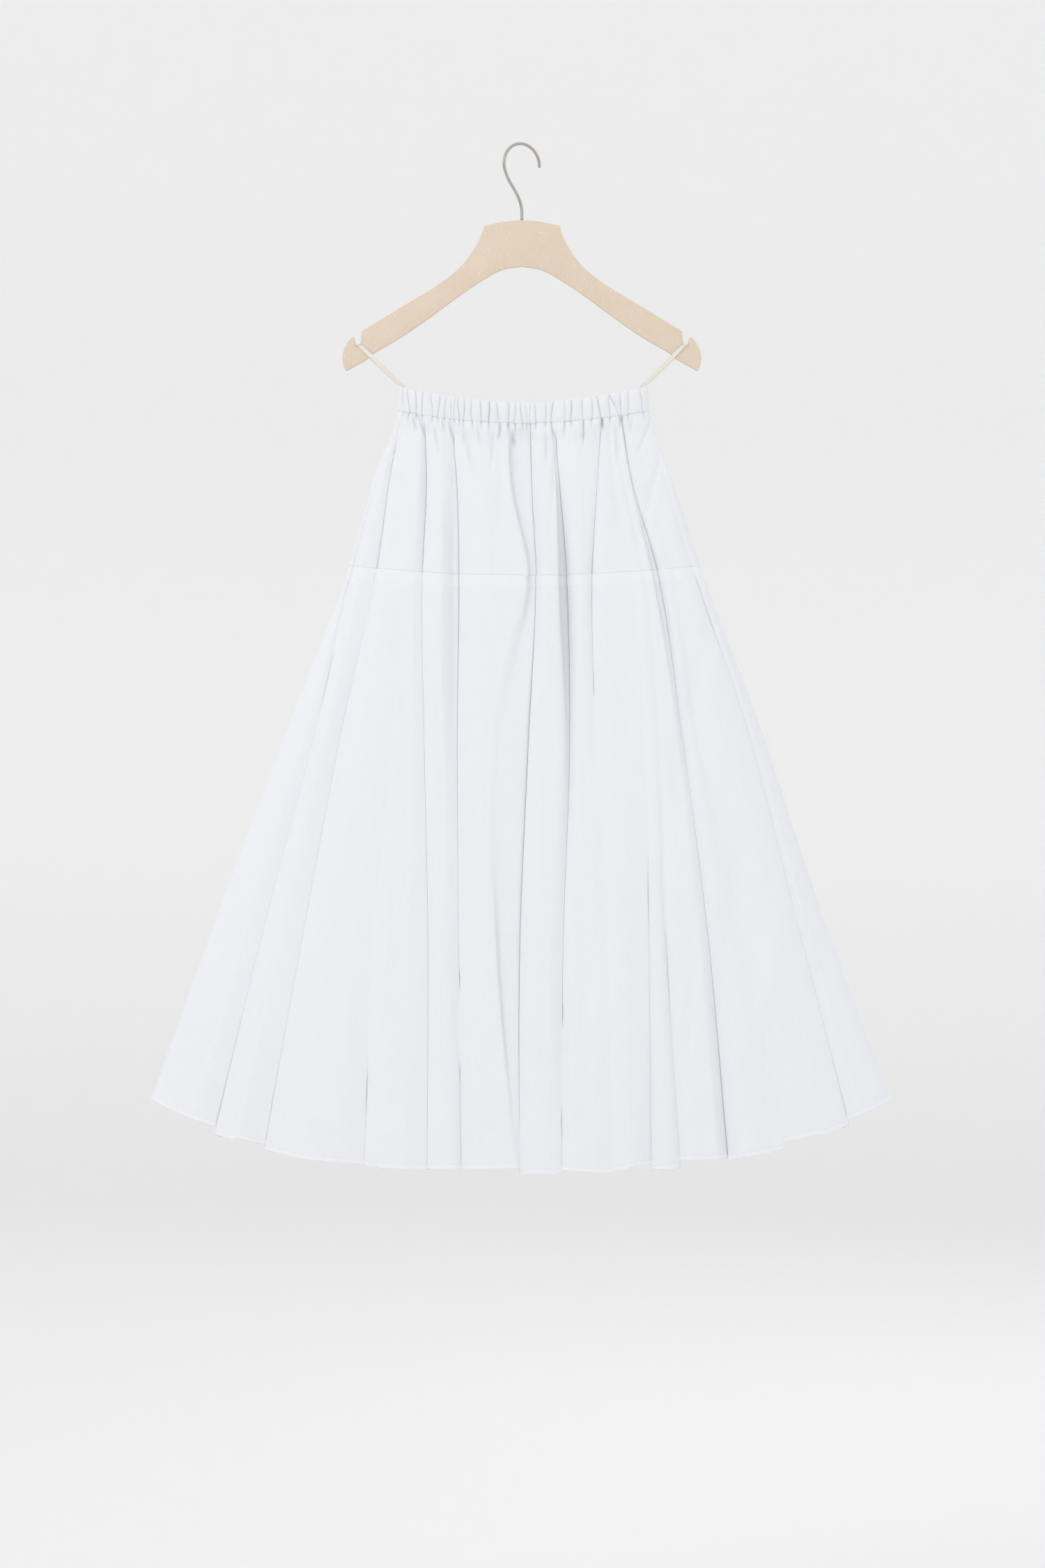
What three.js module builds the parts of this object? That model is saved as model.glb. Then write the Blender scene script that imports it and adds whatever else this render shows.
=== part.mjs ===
// Maxi skirt hung flat from a board hanger by two ribbon loops.
// Millimetres, +Z up, front towards -Y. The origin is the inside crown of the hook,
// where a rail carries it, and X = 0 is the middle of the hanger.

import * as THREE from "three";

// ---------------------------------------------------------------- driving sizes

const seamGap = 0.3;
const clothThickness = 1.2;
const casingThickness = 2.6;
const casingFill = 3.1;
const stripThickness = 2;
const stripProud = 0.4;
const stripHeight = 16.5;
const gatherPitch = 7.5;
const gatherDepth = 2.2;
const tightestGather = 4.5;
const sideFreeOfGathers = 14;
const sectionRoundness = 2.6;

const ribbonWidth = 5.4;
const ribbonThickness = 1;
const ribbonInset = 2;
const boardThickness = 10;
const wireDiameter = 3.8;
const hookRadius = 25.5;
const hookTurn = THREE.MathUtils.degToRad(32);

// The garment's own levels. z is the level at the middle of the front, rise is how much
// higher it lies at the sides, and curve is how late that rise comes. left and right are
// the two sides. front and back are how far the folds' crowns stand off the middle plane,
// and fold is the share of that distance that the deepest groove goes back in.
const levels = [
  { name: "waist", z: -313.6, rise: 18, curve: 1.9, left: -152, right: 154, front: 12, back: 11, fold: 0 },
  { name: "stitch", z: -341, rise: 16, curve: 1.9, left: -151, right: 156, front: 13, back: 12, fold: 0.09 },
  { name: "hip", z: -417, rise: 15, curve: 1.9, left: -179, right: 182, front: 23, back: 21, fold: 0.52 },
  { name: "seam", z: -534, rise: 13, curve: 2, left: -213, right: 221, front: 35, back: 31, fold: 0.64 },
  { name: "knee", z: -733, rise: 28, curve: 2.2, left: -284, right: 290, front: 49, back: 43, fold: 0.7 },
  { name: "calf", z: -970, rise: 51, curve: 2.5, left: -365, right: 361, front: 61, back: 53, fold: 0.72 },
  { name: "hem", z: -1247, rise: 85, curve: 2.8, left: -452, right: 451, front: 71, back: 61, fold: 0.74 },
];

// The grooves between the front's folds, from left to right. x is the line where a groove
// shows, at stitch, hip, seam, knee, calf and hem. deep is its share of the deepest groove
// and wide its floor, at stitch, seam, knee and hem. over is how far its floor runs in
// under the fold on its right (or on its left, where it is below 0) at the hem.
const frontGrooves = [
  { x: [-148, -174, -207, -250, -308, -372], deep: [0, 0, 0.7, 0.8], wide: [1, 1, 3, 4], over: 10 },
  { x: [-142, -162, -177, -217, -268, -311], deep: [0.7, 0.8, 0.9, 1], wide: [2, 2, 3, 4], over: 14 },
  { x: [-129, -137, -148, -158, -180, -190], deep: [0.2, 0.2, 0.4, 0.6], wide: [2, 2, 4, 4], over: 4 },
  { x: [-117, -116, -124, -117, -112, -115], deep: [0.6, 0.8, 0.7, 0.8], wide: [2, 2, 3, 4], over: -10 },
  { x: [-93, -83, -82, -80, -73, -72], deep: [0.9, 1, 0.6, 0.6], wide: [3, 9, 8, 4], over: 6 },
  { x: [1, 0, 12, -4, -14, -3], deep: [0.8, 0.8, 0.5, 0.9], wide: [20, 9, 26, 5], over: 12 },
  { x: [33, 41, 50, 53, 49, 48], deep: [0.9, 1, 0.9, 0.9], wide: [10, 10, 9, 5], over: -10 },
  { x: [96, 92, 86, 92, 101, 109], deep: [0.7, 0.8, 0.3, 0.5], wide: [2, 2, 4, 4], over: -6 },
  { x: [104, 113, 133, 147, 153, 156], deep: [0.2, 0.3, 0.5, 0.8], wide: [2, 2, 4, 5], over: -8 },
  { x: [111, 124, 149, 166, 174, 191], deep: [0.2, 0.2, 0.3, 0.6], wide: [2, 2, 4, 4], over: -4 },
  { x: [118, 134, 164, 194, 223, 248], deep: [0.9, 1, 1, 1], wide: [2, 2, 3, 5], over: -14 },
  { x: [131, 152, 184, 214, 267, 316], deep: [0.3, 0.3, 0.4, 0.7], wide: [2, 2, 4, 4], over: -6 },
  { x: [150, 174, 210, 273, 330, 396], deep: [0, 0, 0.7, 0.8], wide: [1, 2, 3, 4], over: -10 },
];

// The back's grooves, from left to right as seen from behind, in the same columns.
const backGrooves = [
  { x: [-146, -170, -204, -256, -316, -382], deep: [0, 0, 0.6, 0.8], wide: [1, 2, 3, 4], over: 10 },
  { x: [-133, -151, -176, -214, -256, -304], deep: [0.5, 0.6, 0.8, 0.9], wide: [2, 2, 3, 4], over: 10 },
  { x: [-116, -124, -138, -163, -192, -226], deep: [0.7, 0.8, 0.6, 0.7], wide: [2, 3, 4, 4], over: -8 },
  { x: [-92, -98, -107, -118, -136, -160], deep: [0.4, 0.4, 0.7, 0.9], wide: [2, 2, 4, 5], over: 10 },
  { x: [-60, -62, -66, -72, -84, -95], deep: [0.8, 0.9, 0.8, 0.6], wide: [4, 6, 5, 4], over: -6 },
  { x: [-28, -26, -24, -25, -30, -38], deep: [0.5, 0.5, 0.4, 0.7], wide: [2, 3, 6, 5], over: 8 },
  { x: [8, 12, 18, 24, 26, 22], deep: [0.8, 1, 0.9, 0.9], wide: [5, 8, 6, 4], over: -10 },
  { x: [44, 48, 54, 66, 78, 86], deep: [0.5, 0.6, 0.5, 0.6], wide: [2, 3, 5, 4], over: 6 },
  { x: [72, 80, 92, 112, 132, 150], deep: [0.7, 0.9, 0.9, 0.9], wide: [2, 3, 4, 5], over: -12 },
  { x: [98, 108, 128, 152, 182, 214], deep: [0.3, 0.4, 0.5, 0.6], wide: [2, 2, 5, 4], over: 6 },
  { x: [120, 134, 156, 194, 238, 286], deep: [0.6, 0.7, 0.8, 1], wide: [2, 2, 4, 5], over: -12 },
  { x: [144, 168, 200, 254, 312, 372], deep: [0, 0, 0.7, 0.8], wide: [1, 2, 3, 4], over: -10 },
];

// A groove's profile: how much of its depth each column of a fold keeps, from the groove's
// middle to the crown, and how far out of the groove that column lies when the groove is
// crisp (in millimetres past its floor) and when it is soft (as a share of the fold).
const grooveProfile = [
  { keeps: 1, crisp: 0, soft: 0 },
  { keeps: 0.94, crisp: 0, soft: 0.06 },
  { keeps: 0.4, crisp: 2.5, soft: 0.18 },
  { keeps: 0.08, crisp: 8, soft: 0.32 },
];
const sideShares = [0, 0.03, 0.11, 0.26];

// ---------------------------------------------------------------- interpolation

// A smooth curve through the values given at descending heights.
function smoothAt(heights, values, z) {
  const last = heights.length - 1;
  if (z >= heights[0]) {
    return values[0];
  }
  if (z <= heights[last]) {
    return values[last];
  }
  const i = heights.findIndex((height) => height < z) - 1;
  const slope = (k) => (values[k + 1] - values[k]) / (heights[k + 1] - heights[k]);
  const start = i > 0 ? (slope(i - 1) + slope(i)) / 2 : slope(i);
  const end = i + 1 < last ? (slope(i) + slope(i + 1)) / 2 : slope(i);
  const step = heights[i + 1] - heights[i];
  const t = (z - heights[i]) / step;
  const rise = t * t * (3 - 2 * t);
  const bend = start * step * t * (1 - t) * (1 - t) - end * step * t * t * (1 - t);
  return values[i] + (values[i + 1] - values[i]) * rise + bend;
}

const levelHeights = levels.map((level) => level.z);
const heightOf = (name) => levels.find((level) => level.name === name).z;
const lineHeights = ["stitch", "hip", "seam", "knee", "calf", "hem"].map(heightOf);
const depthHeights = ["stitch", "seam", "knee", "hem"].map(heightOf);

function levelAt(z) {
  const value = (column) => smoothAt(levelHeights, levels.map((level) => level[column]), z);
  return {
    z,
    rise: value("rise"),
    curve: value("curve"),
    left: value("left"),
    right: value("right"),
    front: value("front"),
    back: value("back"),
    fold: value("fold"),
  };
}

// ---------------------------------------------------------------- one half's section

// A half is the front, or the back turned half round, so that both run from left to right
// with the outside towards -Y.
const halves = {
  front: { turn: 0, grooves: frontGrooves, sides: (level) => [level.left, level.right] },
  back: { turn: Math.PI, grooves: backGrooves, sides: (level) => [-level.right, -level.left] },
};

function groovesAt(half, z) {
  const hemShare = THREE.MathUtils.clamp((heightOf("seam") - z) / (heightOf("seam") - heightOf("hem")), 0, 1);
  return half.grooves.map((groove) => ({
    x: smoothAt(lineHeights, groove.x, z),
    deep: smoothAt(depthHeights, groove.deep, z),
    wide: smoothAt(depthHeights, groove.wide, z),
    over: groove.over * hemShare,
  }));
}

// x on the inside of a wall: moved in by its thickness at the side, and hardly over the middle.
function insideX(x, side, thickness) {
  return x - Math.sign(side) * thickness * Math.pow(Math.min(1, x / side), 6);
}

// How far the half's crowns stand forward at x: full over the middle, nought at the sides.
function crownAt(name, level, x) {
  const [left, right] = halves[name].sides(level);
  const reach = Math.min(1, Math.abs(x / (x < 0 ? left : right)));
  return level[name] * Math.pow(1 - Math.pow(reach, sectionRoundness), 1 / sectionRoundness);
}

function sectionPoint(name, level, x, groove) {
  return new THREE.Vector2(x, -crownAt(name, level, x) * (1 - level.fold * groove));
}

// The half's section at a height, eight columns to a fold.
function foldSection(name, z) {
  const level = levelAt(z);
  const half = halves[name];
  const [left, right] = half.sides(level);
  const side = (x) => ({ x, deep: 0, wide: 0, over: 0, side: true });
  const edges = [side(left), ...groovesAt(half, z), side(right)];
  const points = [];
  for (let i = 0; i + 1 < edges.length; i += 1) {
    const span = edges[i + 1].x - edges[i].x;
    const from = (edge, row, direction) => {
      if (edge.side) {
        return { x: edge.x + direction * sideShares[row] * span, groove: 0 };
      }
      const { keeps, crisp, soft } = grooveProfile[row];
      const crispReach = row === 0 ? 0 : Math.min(edge.wide / 2 + crisp, (0.12 + 0.08 * row) * span);
      const reach = THREE.MathUtils.lerp(soft * span, crispReach, edge.deep);
      const tucked = edge.over * keeps * edge.deep;
      return { x: edge.x + direction * reach + tucked, groove: edge.deep * keeps };
    };
    const rising = [0, 1, 2, 3].map((row) => from(edges[i], row, 1));
    const falling = [3, 2, 1].map((row) => from(edges[i + 1], row, -1));
    const crown = { x: (rising[3].x + falling[0].x) / 2, groove: 0 };
    for (const column of [...rising, crown, ...falling]) {
      points.push(sectionPoint(name, level, column.x, column.groove));
    }
  }
  points.push(sectionPoint(name, level, right, 0));
  return points;
}

// The same section at other columns: y where the section passes x, without its overhangs.
function heightAcross(points, x) {
  const after = points.findIndex((point) => point.x > x);
  if (after <= 0) {
    return points[after === 0 ? 0 : points.length - 1].y;
  }
  const a = points[after - 1];
  const b = points[after];
  return THREE.MathUtils.lerp(a.y, b.y, (x - a.x) / (b.x - a.x));
}

// ---------------------------------------------------------------- walls

// Each point of an open section moved sideways to its left (inwards for a half), with
// mitred corners. Its two ends move straight along X, so that they stay on the side seam.
function movedIn(points, distance) {
  const sharpestMitre = 2;
  return points.map((point, i) => {
    if (i === 0 || i === points.length - 1) {
      return new THREE.Vector2(point.x + (i === 0 ? distance : -distance), point.y);
    }
    const before = point.clone().sub(points[i - 1]).normalize();
    const after = points[i + 1].clone().sub(point).normalize();
    const out = before.clone().add(after).normalize();
    const mitre = Math.min(sharpestMitre, 1 / Math.max(out.dot(after), 0.01));
    return new THREE.Vector2(point.x - out.y * distance * mitre, point.y + out.x * distance * mitre);
  });
}

// The inside of a section with no overhangs: each point moved in towards the middle plane,
// further where the section is steep, so that it never crosses.
function thickened(points, thickness) {
  const steepness = (a, b) => Math.abs((b.y - a.y) / (b.x - a.x));
  const last = points.length - 1;
  return points.map((point, i) => {
    const before = i > 0 ? steepness(points[i - 1], point) : 0;
    const after = i < last ? steepness(point, points[i + 1]) : 0;
    const across = thickness * Math.hypot(1, Math.max(before, after));
    const side = point.x < 0 ? points[0].x : points[last].x;
    return new THREE.Vector2(insideX(point.x, side, thickness), point.y + across);
  });
}

// The section's points put at their height, with both ends half a seam gap off the side seam.
function placed(name, z, points) {
  const level = levelAt(z);
  const [left, right] = halves[name].sides(level);
  return points.map((point, i) => {
    const atEnd = i === 0 || i === points.length - 1;
    const reach = Math.min(1, Math.abs(point.x / (point.x < 0 ? left : right)));
    const y = atEnd ? -seamGap / 2 : Math.min(point.y, -seamGap / 2);
    return new THREE.Vector3(point.x, y, z + level.rise * Math.pow(reach, level.curve));
  });
}

// A closed wall between an outer and an inner grid, whose rows run from top to bottom.
function wallGeometry(outerRows, innerRows) {
  const rows = outerRows.length;
  const columns = outerRows[0].length;
  const positions = [];
  for (const grid of [outerRows, innerRows]) {
    for (const row of grid) {
      for (const point of row) {
        positions.push(point.x, point.y, point.z);
      }
    }
  }
  const outer = (row, column) => row * columns + column;
  const inner = (row, column) => rows * columns + row * columns + column;
  const index = [];
  const face = (a, b, c, d) => index.push(a, b, c, a, c, d);
  for (let row = 0; row + 1 < rows; row += 1) {
    for (let column = 0; column + 1 < columns; column += 1) {
      face(outer(row, column), outer(row + 1, column), outer(row + 1, column + 1), outer(row, column + 1));
      face(inner(row, column), inner(row, column + 1), inner(row + 1, column + 1), inner(row + 1, column));
    }
    face(outer(row, 0), inner(row, 0), inner(row + 1, 0), outer(row + 1, 0));
    const end = columns - 1;
    face(outer(row, end), outer(row + 1, end), inner(row + 1, end), inner(row, end));
  }
  for (let column = 0; column + 1 < columns; column += 1) {
    face(outer(0, column), outer(0, column + 1), inner(0, column + 1), inner(0, column));
    const hem = rows - 1;
    face(outer(hem, column), inner(hem, column), inner(hem, column + 1), outer(hem, column + 1));
  }
  const geometry = new THREE.BufferGeometry();
  geometry.setAttribute("position", new THREE.Float32BufferAttribute(positions, 3));
  geometry.setIndex(index);
  geometry.computeVertexNormals();
  return geometry;
}

// ---------------------------------------------------------------- materials

function finish(color, roughness, metalness) {
  return new THREE.MeshStandardMaterial({ color, roughness, metalness });
}

const whiteCotton = finish(0xeef0f4, 0.85, 0);
const creamRibbon = finish(0xf0eddf, 0.45, 0);
const paleBoard = finish(0xe5d4bf, 0.8, 0);
const satinSteel = finish(0xb9b4ad, 0.35, 0.9);

function piece(name, geometry, material) {
  const mesh = new THREE.Mesh(geometry, material);
  mesh.name = name;
  return mesh;
}

function clothPiece(name, half, geometry) {
  const mesh = piece(`${name}_${half}`, geometry, whiteCotton);
  mesh.rotation.z = halves[half].turn;
  return mesh;
}

// ---------------------------------------------------------------- gathered columns

// Three columns to a gather: its crease and the two shoulders of its ridge. Every groove of
// the yoke falls on a crease.
function gatherColumns(name) {
  const half = halves[name];
  const level = levelAt(heightOf("stitch"));
  const [left, right] = half.sides(level);
  const edges = [left, ...half.grooves.map((groove) => groove.x[0]), right];
  const columns = [];
  for (let i = 0; i + 1 < edges.length; i += 1) {
    const width = edges[i + 1] - edges[i];
    const gathers = Math.max(1, Math.round(width / gatherPitch));
    for (let k = 0; k < gathers * 3; k += 1) {
      columns.push({ fold: i, share: k / (gathers * 3), crease: k % 3 === 0, pitch: width / gathers });
    }
  }
  columns.push({ fold: edges.length - 2, share: 1, crease: true, pitch: 0 });
  return columns;
}

// The half's section at a height on those columns, with its gathers.
function gatheredSection(name, z, depth) {
  const half = halves[name];
  const level = levelAt(z);
  const [left, right] = half.sides(level);
  const edges = [left, ...groovesAt(half, z).map((groove) => groove.x), right];
  const folded = foldSection(name, z);
  return gatherColumns(name).map((column, i) => {
    const x = THREE.MathUtils.lerp(edges[column.fold], edges[column.fold + 1], column.share);
    const room = THREE.MathUtils.clamp((column.pitch - tightestGather) / 2, 0, 1);
    const side = THREE.MathUtils.smoothstep(Math.min(x - left, right - x), 2, sideFreeOfGathers);
    const uneven = 0.8 + 0.3 * Math.sin(i * 1.9);
    const wave = (column.crease ? -1 : 0.6) * depth * room * side * uneven;
    return new THREE.Vector2(x, heightAcross(folded, x) - wave);
  });
}

// ---------------------------------------------------------------- waist casing

// The plain inside of the casing: the same rounded section, smaller by the casing's wall
// and, over the middle, by the elastic and the gathers in it.
function casingInside(name, z, columns) {
  const level = levelAt(z);
  const [left, right] = halves[name].sides(level);
  const depth = level[name] * (1 - level.fold) - casingThickness - casingFill;
  return columns.map((point) => {
    const side = point.x < 0 ? left : right;
    const reach = Math.min(1, point.x / side);
    const shape = Math.pow(1 - Math.pow(reach, sectionRoundness), 1 / sectionRoundness);
    return new THREE.Vector2(insideX(point.x, side, casingThickness), -depth * shape);
  });
}

// A strip folded over its elastic: gathered outside, plain inside.
function waistCasing(name) {
  const rows = [
    { z: heightOf("waist"), depth: gatherDepth * 0.8 },
    { z: heightOf("stitch") + seamGap / 2, depth: gatherDepth },
  ];
  const sections = rows.map((row) => gatheredSection(name, row.z, row.depth));
  const outer = sections.map((section, i) => placed(name, rows[i].z, section));
  const inner = sections.map((section, i) => placed(name, rows[i].z, casingInside(name, rows[i].z, section)));
  return clothPiece("casing", name, wallGeometry(outer, inner));
}

// ---------------------------------------------------------------- hip yoke

// The gathers die out down the yoke while its folds deepen.
function hipYoke(name) {
  const top = heightOf("stitch") - seamGap / 2;
  const foot = heightOf("seam") + stripHeight / 2;
  const rows = [
    { z: top, depth: gatherDepth },
    { z: top - 16, depth: gatherDepth * 0.75 },
    { z: top - 46, depth: gatherDepth * 0.35 },
    { z: top - 105, depth: 0 },
    { z: foot, depth: 0 },
  ];
  const sections = rows.map((row) => gatheredSection(name, row.z, row.depth));
  const outer = sections.map((section, i) => placed(name, rows[i].z, section));
  const inner = sections.map((section, i) => placed(name, rows[i].z, thickened(section, clothThickness)));
  return clothPiece("yoke", name, wallGeometry(outer, inner));
}

// ---------------------------------------------------------------- seam strip

// A folded strip that joins the yoke to the lower panel, made from the panel's own section
// and a little proud of it.
function seamStrip(name) {
  const middle = heightOf("seam");
  const half = stripHeight / 2 - seamGap;
  const heights = [middle + half, middle - half];
  const sections = heights.map((z) => foldSection(name, z));
  const outer = sections.map((section, i) => placed(name, heights[i], movedIn(section, -stripProud)));
  const inward = stripThickness - stripProud;
  const inner = sections.map((section, i) => placed(name, heights[i], movedIn(section, inward)));
  return clothPiece("seam_strip", name, wallGeometry(outer, inner));
}

// ---------------------------------------------------------------- lower panel

function lowerPanel(name) {
  const top = heightOf("seam") - stripHeight / 2;
  const heights = [top, top - 85, heightOf("knee"), -850, heightOf("calf") - 20, heightOf("hem")];
  const sections = heights.map((z) => foldSection(name, z));
  const outer = sections.map((section, i) => placed(name, heights[i], section));
  const inner = sections.map((section, i) => placed(name, heights[i], movedIn(section, clothThickness)));
  return clothPiece("lower_panel", name, wallGeometry(outer, inner));
}

// ---------------------------------------------------------------- hanger board

// Half of the board's outline, from the middle of its top to the middle of its bottom.
const board = {
  crest: -92,
  top: [24, -94],
  topCorner: [46, -99],
  shoulder: [[50, -111], [56, -123], [74, -148], [100, -169]],
  armEnd: [195.6, -227.5],
  notchInner: [196.7, -243],
  notchOuter: [202.9, -243],
  lobeTop: [203.6, -236],
  lobe: [[206.5, -234.6], [211, -239], [216, -247.5], [218.7, -258], [218, -267], [215, -274.6]],
  tip: [213.4, -275],
  underArm: [[187.5, -260], [182, -255], [148.5, -235], [116, -213], [83.5, -189], [35, -156.5]],
  underMiddle: [14, -149],
  foot: -147.8,
};

function hangerBoard() {
  const side = [
    board.top,
    board.topCorner,
    ...board.shoulder,
    board.armEnd,
    board.notchInner,
    board.notchOuter,
    board.lobeTop,
    ...board.lobe,
    board.tip,
    ...board.underArm,
    board.underMiddle,
  ];
  const right = side.map(([x, z]) => new THREE.Vector2(x, z));
  const left = side.map(([x, z]) => new THREE.Vector2(-x, z)).reverse();
  const outline = [new THREE.Vector2(0, board.crest), ...right, new THREE.Vector2(0, board.foot), ...left];
  const geometry = new THREE.ExtrudeGeometry(new THREE.Shape(outline), {
    depth: boardThickness,
    bevelEnabled: false,
  });
  geometry.translate(0, 0, -boardThickness / 2);
  geometry.rotateX(Math.PI / 2);
  return piece("hanger_board", geometry, paleBoard);
}

// ---------------------------------------------------------------- hanger hook

// A wire bent over the rail in a half circle and back to the middle of the board.
function hangerHook() {
  const centre = wireDiameter / 2 - hookRadius;
  const route = [];
  const arcSteps = 12;
  const arcEnd = Math.PI * 1.1;
  for (let i = 0; i <= arcSteps; i += 1) {
    const angle = (arcEnd * i) / arcSteps;
    route.push(new THREE.Vector3(hookRadius * Math.cos(angle), 0, centre + hookRadius * Math.sin(angle)));
  }
  const stem = [[-18.5, -44], [-12, -53], [-5.6, -62.5], [-1.6, -71.5], [0, -80], [0, board.crest + seamGap]];
  for (const [x, z] of stem) {
    route.push(new THREE.Vector3(x, 0, z));
  }
  const wire = new THREE.Shape().absarc(0, 0, wireDiameter / 2, 0, Math.PI * 2, false);
  const geometry = new THREE.ExtrudeGeometry(wire, {
    steps: 36,
    curveSegments: 5,
    bevelEnabled: false,
    extrudePath: new THREE.CatmullRomCurve3(route, false, "centripetal"),
  });
  const mesh = piece("hanger_hook", geometry, satinSteel);
  mesh.rotation.z = hookTurn;
  return mesh;
}

// ---------------------------------------------------------------- ribbon loops

// The front strand of a loop, from its end inside the casing's side to the top of the notch.
// share is how far it has come from the casing to the notch, drop how far it lies below that
// line, and flat the turn of the ribbon's width from level, in degrees.
const strand = [
  { share: 0, drop: 11, y: -0.65, flat: 0 },
  { share: 0, drop: 0, y: -0.65, flat: 4 },
  { share: 0.08, drop: 0, y: -1.2, flat: 24 },
  { share: 0.35, drop: 0, y: -3.8, flat: 44 },
  { share: 0.68, drop: 0, y: -5.9, flat: 44 },
  { share: 0.85, drop: 0, y: -5.9, flat: 32 },
  { share: 0.96, drop: 0, y: -5.9, flat: 8 },
  { share: 1, drop: 0, y: -5.5, flat: 0 },
  { share: 1, drop: 0, y: 0, flat: 0 },
];

function ribbonLoop(name, sideX) {
  const side = Math.sign(sideX);
  const waist = levels[0];
  const foot = {
    x: sideX - side * (casingThickness + ribbonWidth / 2 + ribbonInset),
    z: waist.z + waist.rise + 3 * seamGap,
  };
  const notch = {
    x: (side * (board.notchInner[0] + board.notchOuter[0])) / 2,
    z: board.notchInner[1] + ribbonThickness / 2 + seamGap,
  };
  const front = strand.map((row) => ({
    x: THREE.MathUtils.lerp(foot.x, notch.x, row.share),
    y: row.y,
    z: THREE.MathUtils.lerp(foot.z, notch.z, row.share) - row.drop,
    turn: -side * THREE.MathUtils.degToRad(row.flat),
  }));
  const back = front.slice(0, -1).map((knot) => ({ ...knot, y: -knot.y })).reverse();
  const route = [...front, ...back];
  const centres = route.map((knot) => new THREE.Vector3(knot.x, knot.y, knot.z));
  const rings = route.map((knot, i) => {
    const along = centres[Math.min(i + 1, route.length - 1)].clone().sub(centres[Math.max(i - 1, 0)]);
    const across = new THREE.Vector3(Math.cos(knot.turn), 0, Math.sin(knot.turn));
    const out = new THREE.Vector3().crossVectors(along, across).setLength(ribbonThickness / 2);
    across.setLength(ribbonWidth / 2);
    const corner = (a, b) => centres[i].clone().addScaledVector(across, a).addScaledVector(out, b);
    return [corner(-1, -1), corner(1, -1), corner(1, 1), corner(-1, 1)];
  });
  const index = [];
  const face = (a, b, c, d) => index.push(a, b, c, a, c, d);
  for (let i = 0; i + 1 < rings.length; i += 1) {
    for (let k = 0; k < 4; k += 1) {
      const next = (k + 1) % 4;
      face(i * 4 + k, i * 4 + next, i * 4 + 4 + next, i * 4 + 4 + k);
    }
  }
  const end = (rings.length - 1) * 4;
  face(3, 2, 1, 0);
  face(end, end + 1, end + 2, end + 3);
  const geometry = new THREE.BufferGeometry().setFromPoints(rings.flat());
  geometry.setIndex(index);
  geometry.computeVertexNormals();
  return piece(name, geometry, creamRibbon);
}

// ---------------------------------------------------------------- the whole

const skirt = new THREE.Group();
for (const half of ["front", "back"]) {
  skirt.add(waistCasing(half));
  skirt.add(hipYoke(half));
  skirt.add(seamStrip(half));
  skirt.add(lowerPanel(half));
}
skirt.add(hangerBoard());
skirt.add(hangerHook());
skirt.add(ribbonLoop("ribbon_loop_left", levels[0].left));
skirt.add(ribbonLoop("ribbon_loop_right", levels[0].right));

export default skirt;
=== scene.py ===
import math

import bpy
import numpy as np
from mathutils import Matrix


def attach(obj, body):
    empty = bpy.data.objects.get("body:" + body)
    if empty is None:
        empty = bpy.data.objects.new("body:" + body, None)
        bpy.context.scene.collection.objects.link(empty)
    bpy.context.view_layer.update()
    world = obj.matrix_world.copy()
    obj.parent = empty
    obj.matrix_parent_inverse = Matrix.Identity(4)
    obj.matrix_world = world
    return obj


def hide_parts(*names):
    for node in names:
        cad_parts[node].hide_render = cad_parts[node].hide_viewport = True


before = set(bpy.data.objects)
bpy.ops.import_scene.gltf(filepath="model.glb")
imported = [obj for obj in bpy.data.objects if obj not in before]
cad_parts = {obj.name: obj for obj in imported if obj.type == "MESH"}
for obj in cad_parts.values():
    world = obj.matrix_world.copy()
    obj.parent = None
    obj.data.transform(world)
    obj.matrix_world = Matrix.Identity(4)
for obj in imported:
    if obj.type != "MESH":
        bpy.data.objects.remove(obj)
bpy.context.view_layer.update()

mm = 0.001


# ---------------- camera
# A long lens, level and square to the hanger, as far off as a room allows.
# The skirt hangs in the middle of an upright frame.

frame_height = 1912.5 * mm
frame_middle = (0.85 * mm, -779 * mm)
camera_distance = 4.5
sensor = 36.0

bpy.ops.object.camera_add(
    location=(frame_middle[0], -camera_distance, frame_middle[1]), rotation=(math.pi / 2, 0, 0))
camera = bpy.context.object
camera.data.sensor_width = sensor
camera.data.lens = sensor * camera_distance / frame_height
bpy.context.scene.camera = camera
bpy.context.scene.view_settings.view_transform = "Standard"


# ---------------- studio
# A pale floor that curves up into a round pale wall, far enough out to stand behind the
# camera from any side, under large soft lamps. Its colour is painted darker towards the
# floor, as shade against the lamps' light there, and it glows faintly: painted light that
# also lights the skirt softly.

floor_level = -2.0
studio_radius = 9.0
studio_height = 7.0
cove = 2.5
cove_steps = 10
lit_place = (0, 0, -0.8)

bpy.ops.mesh.primitive_circle_add(
    vertices=96, radius=studio_radius - cove, fill_type="NGON", location=(0, 0, floor_level))
studio = bpy.context.object
studio.name = "studio"
bpy.ops.object.mode_set(mode="EDIT")
bpy.ops.mesh.select_all(action="SELECT")
bpy.ops.mesh.inset(thickness=0.001)
bpy.ops.mesh.select_all(action="SELECT")
bpy.ops.mesh.region_to_loop()
for step in range(cove_steps):
    before = math.pi / 2 * step / cove_steps
    after = math.pi / 2 * (step + 1) / cove_steps
    reach = studio_radius - cove + cove * math.sin(before)
    grown = studio_radius - cove + cove * math.sin(after)
    bpy.ops.mesh.extrude_edges_move()
    bpy.ops.transform.resize(value=(grown / reach, grown / reach, 1), center_override=(0, 0, floor_level))
    bpy.ops.transform.translate(value=(0, 0, cove * (math.cos(before) - math.cos(after))))
bpy.ops.mesh.extrude_edges_move()
bpy.ops.transform.translate(value=(0, 0, studio_height))
bpy.ops.mesh.select_all(action="SELECT")
bpy.ops.mesh.normals_make_consistent(inside=True)
bpy.ops.object.mode_set(mode="OBJECT")
bpy.ops.object.shade_smooth()


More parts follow.
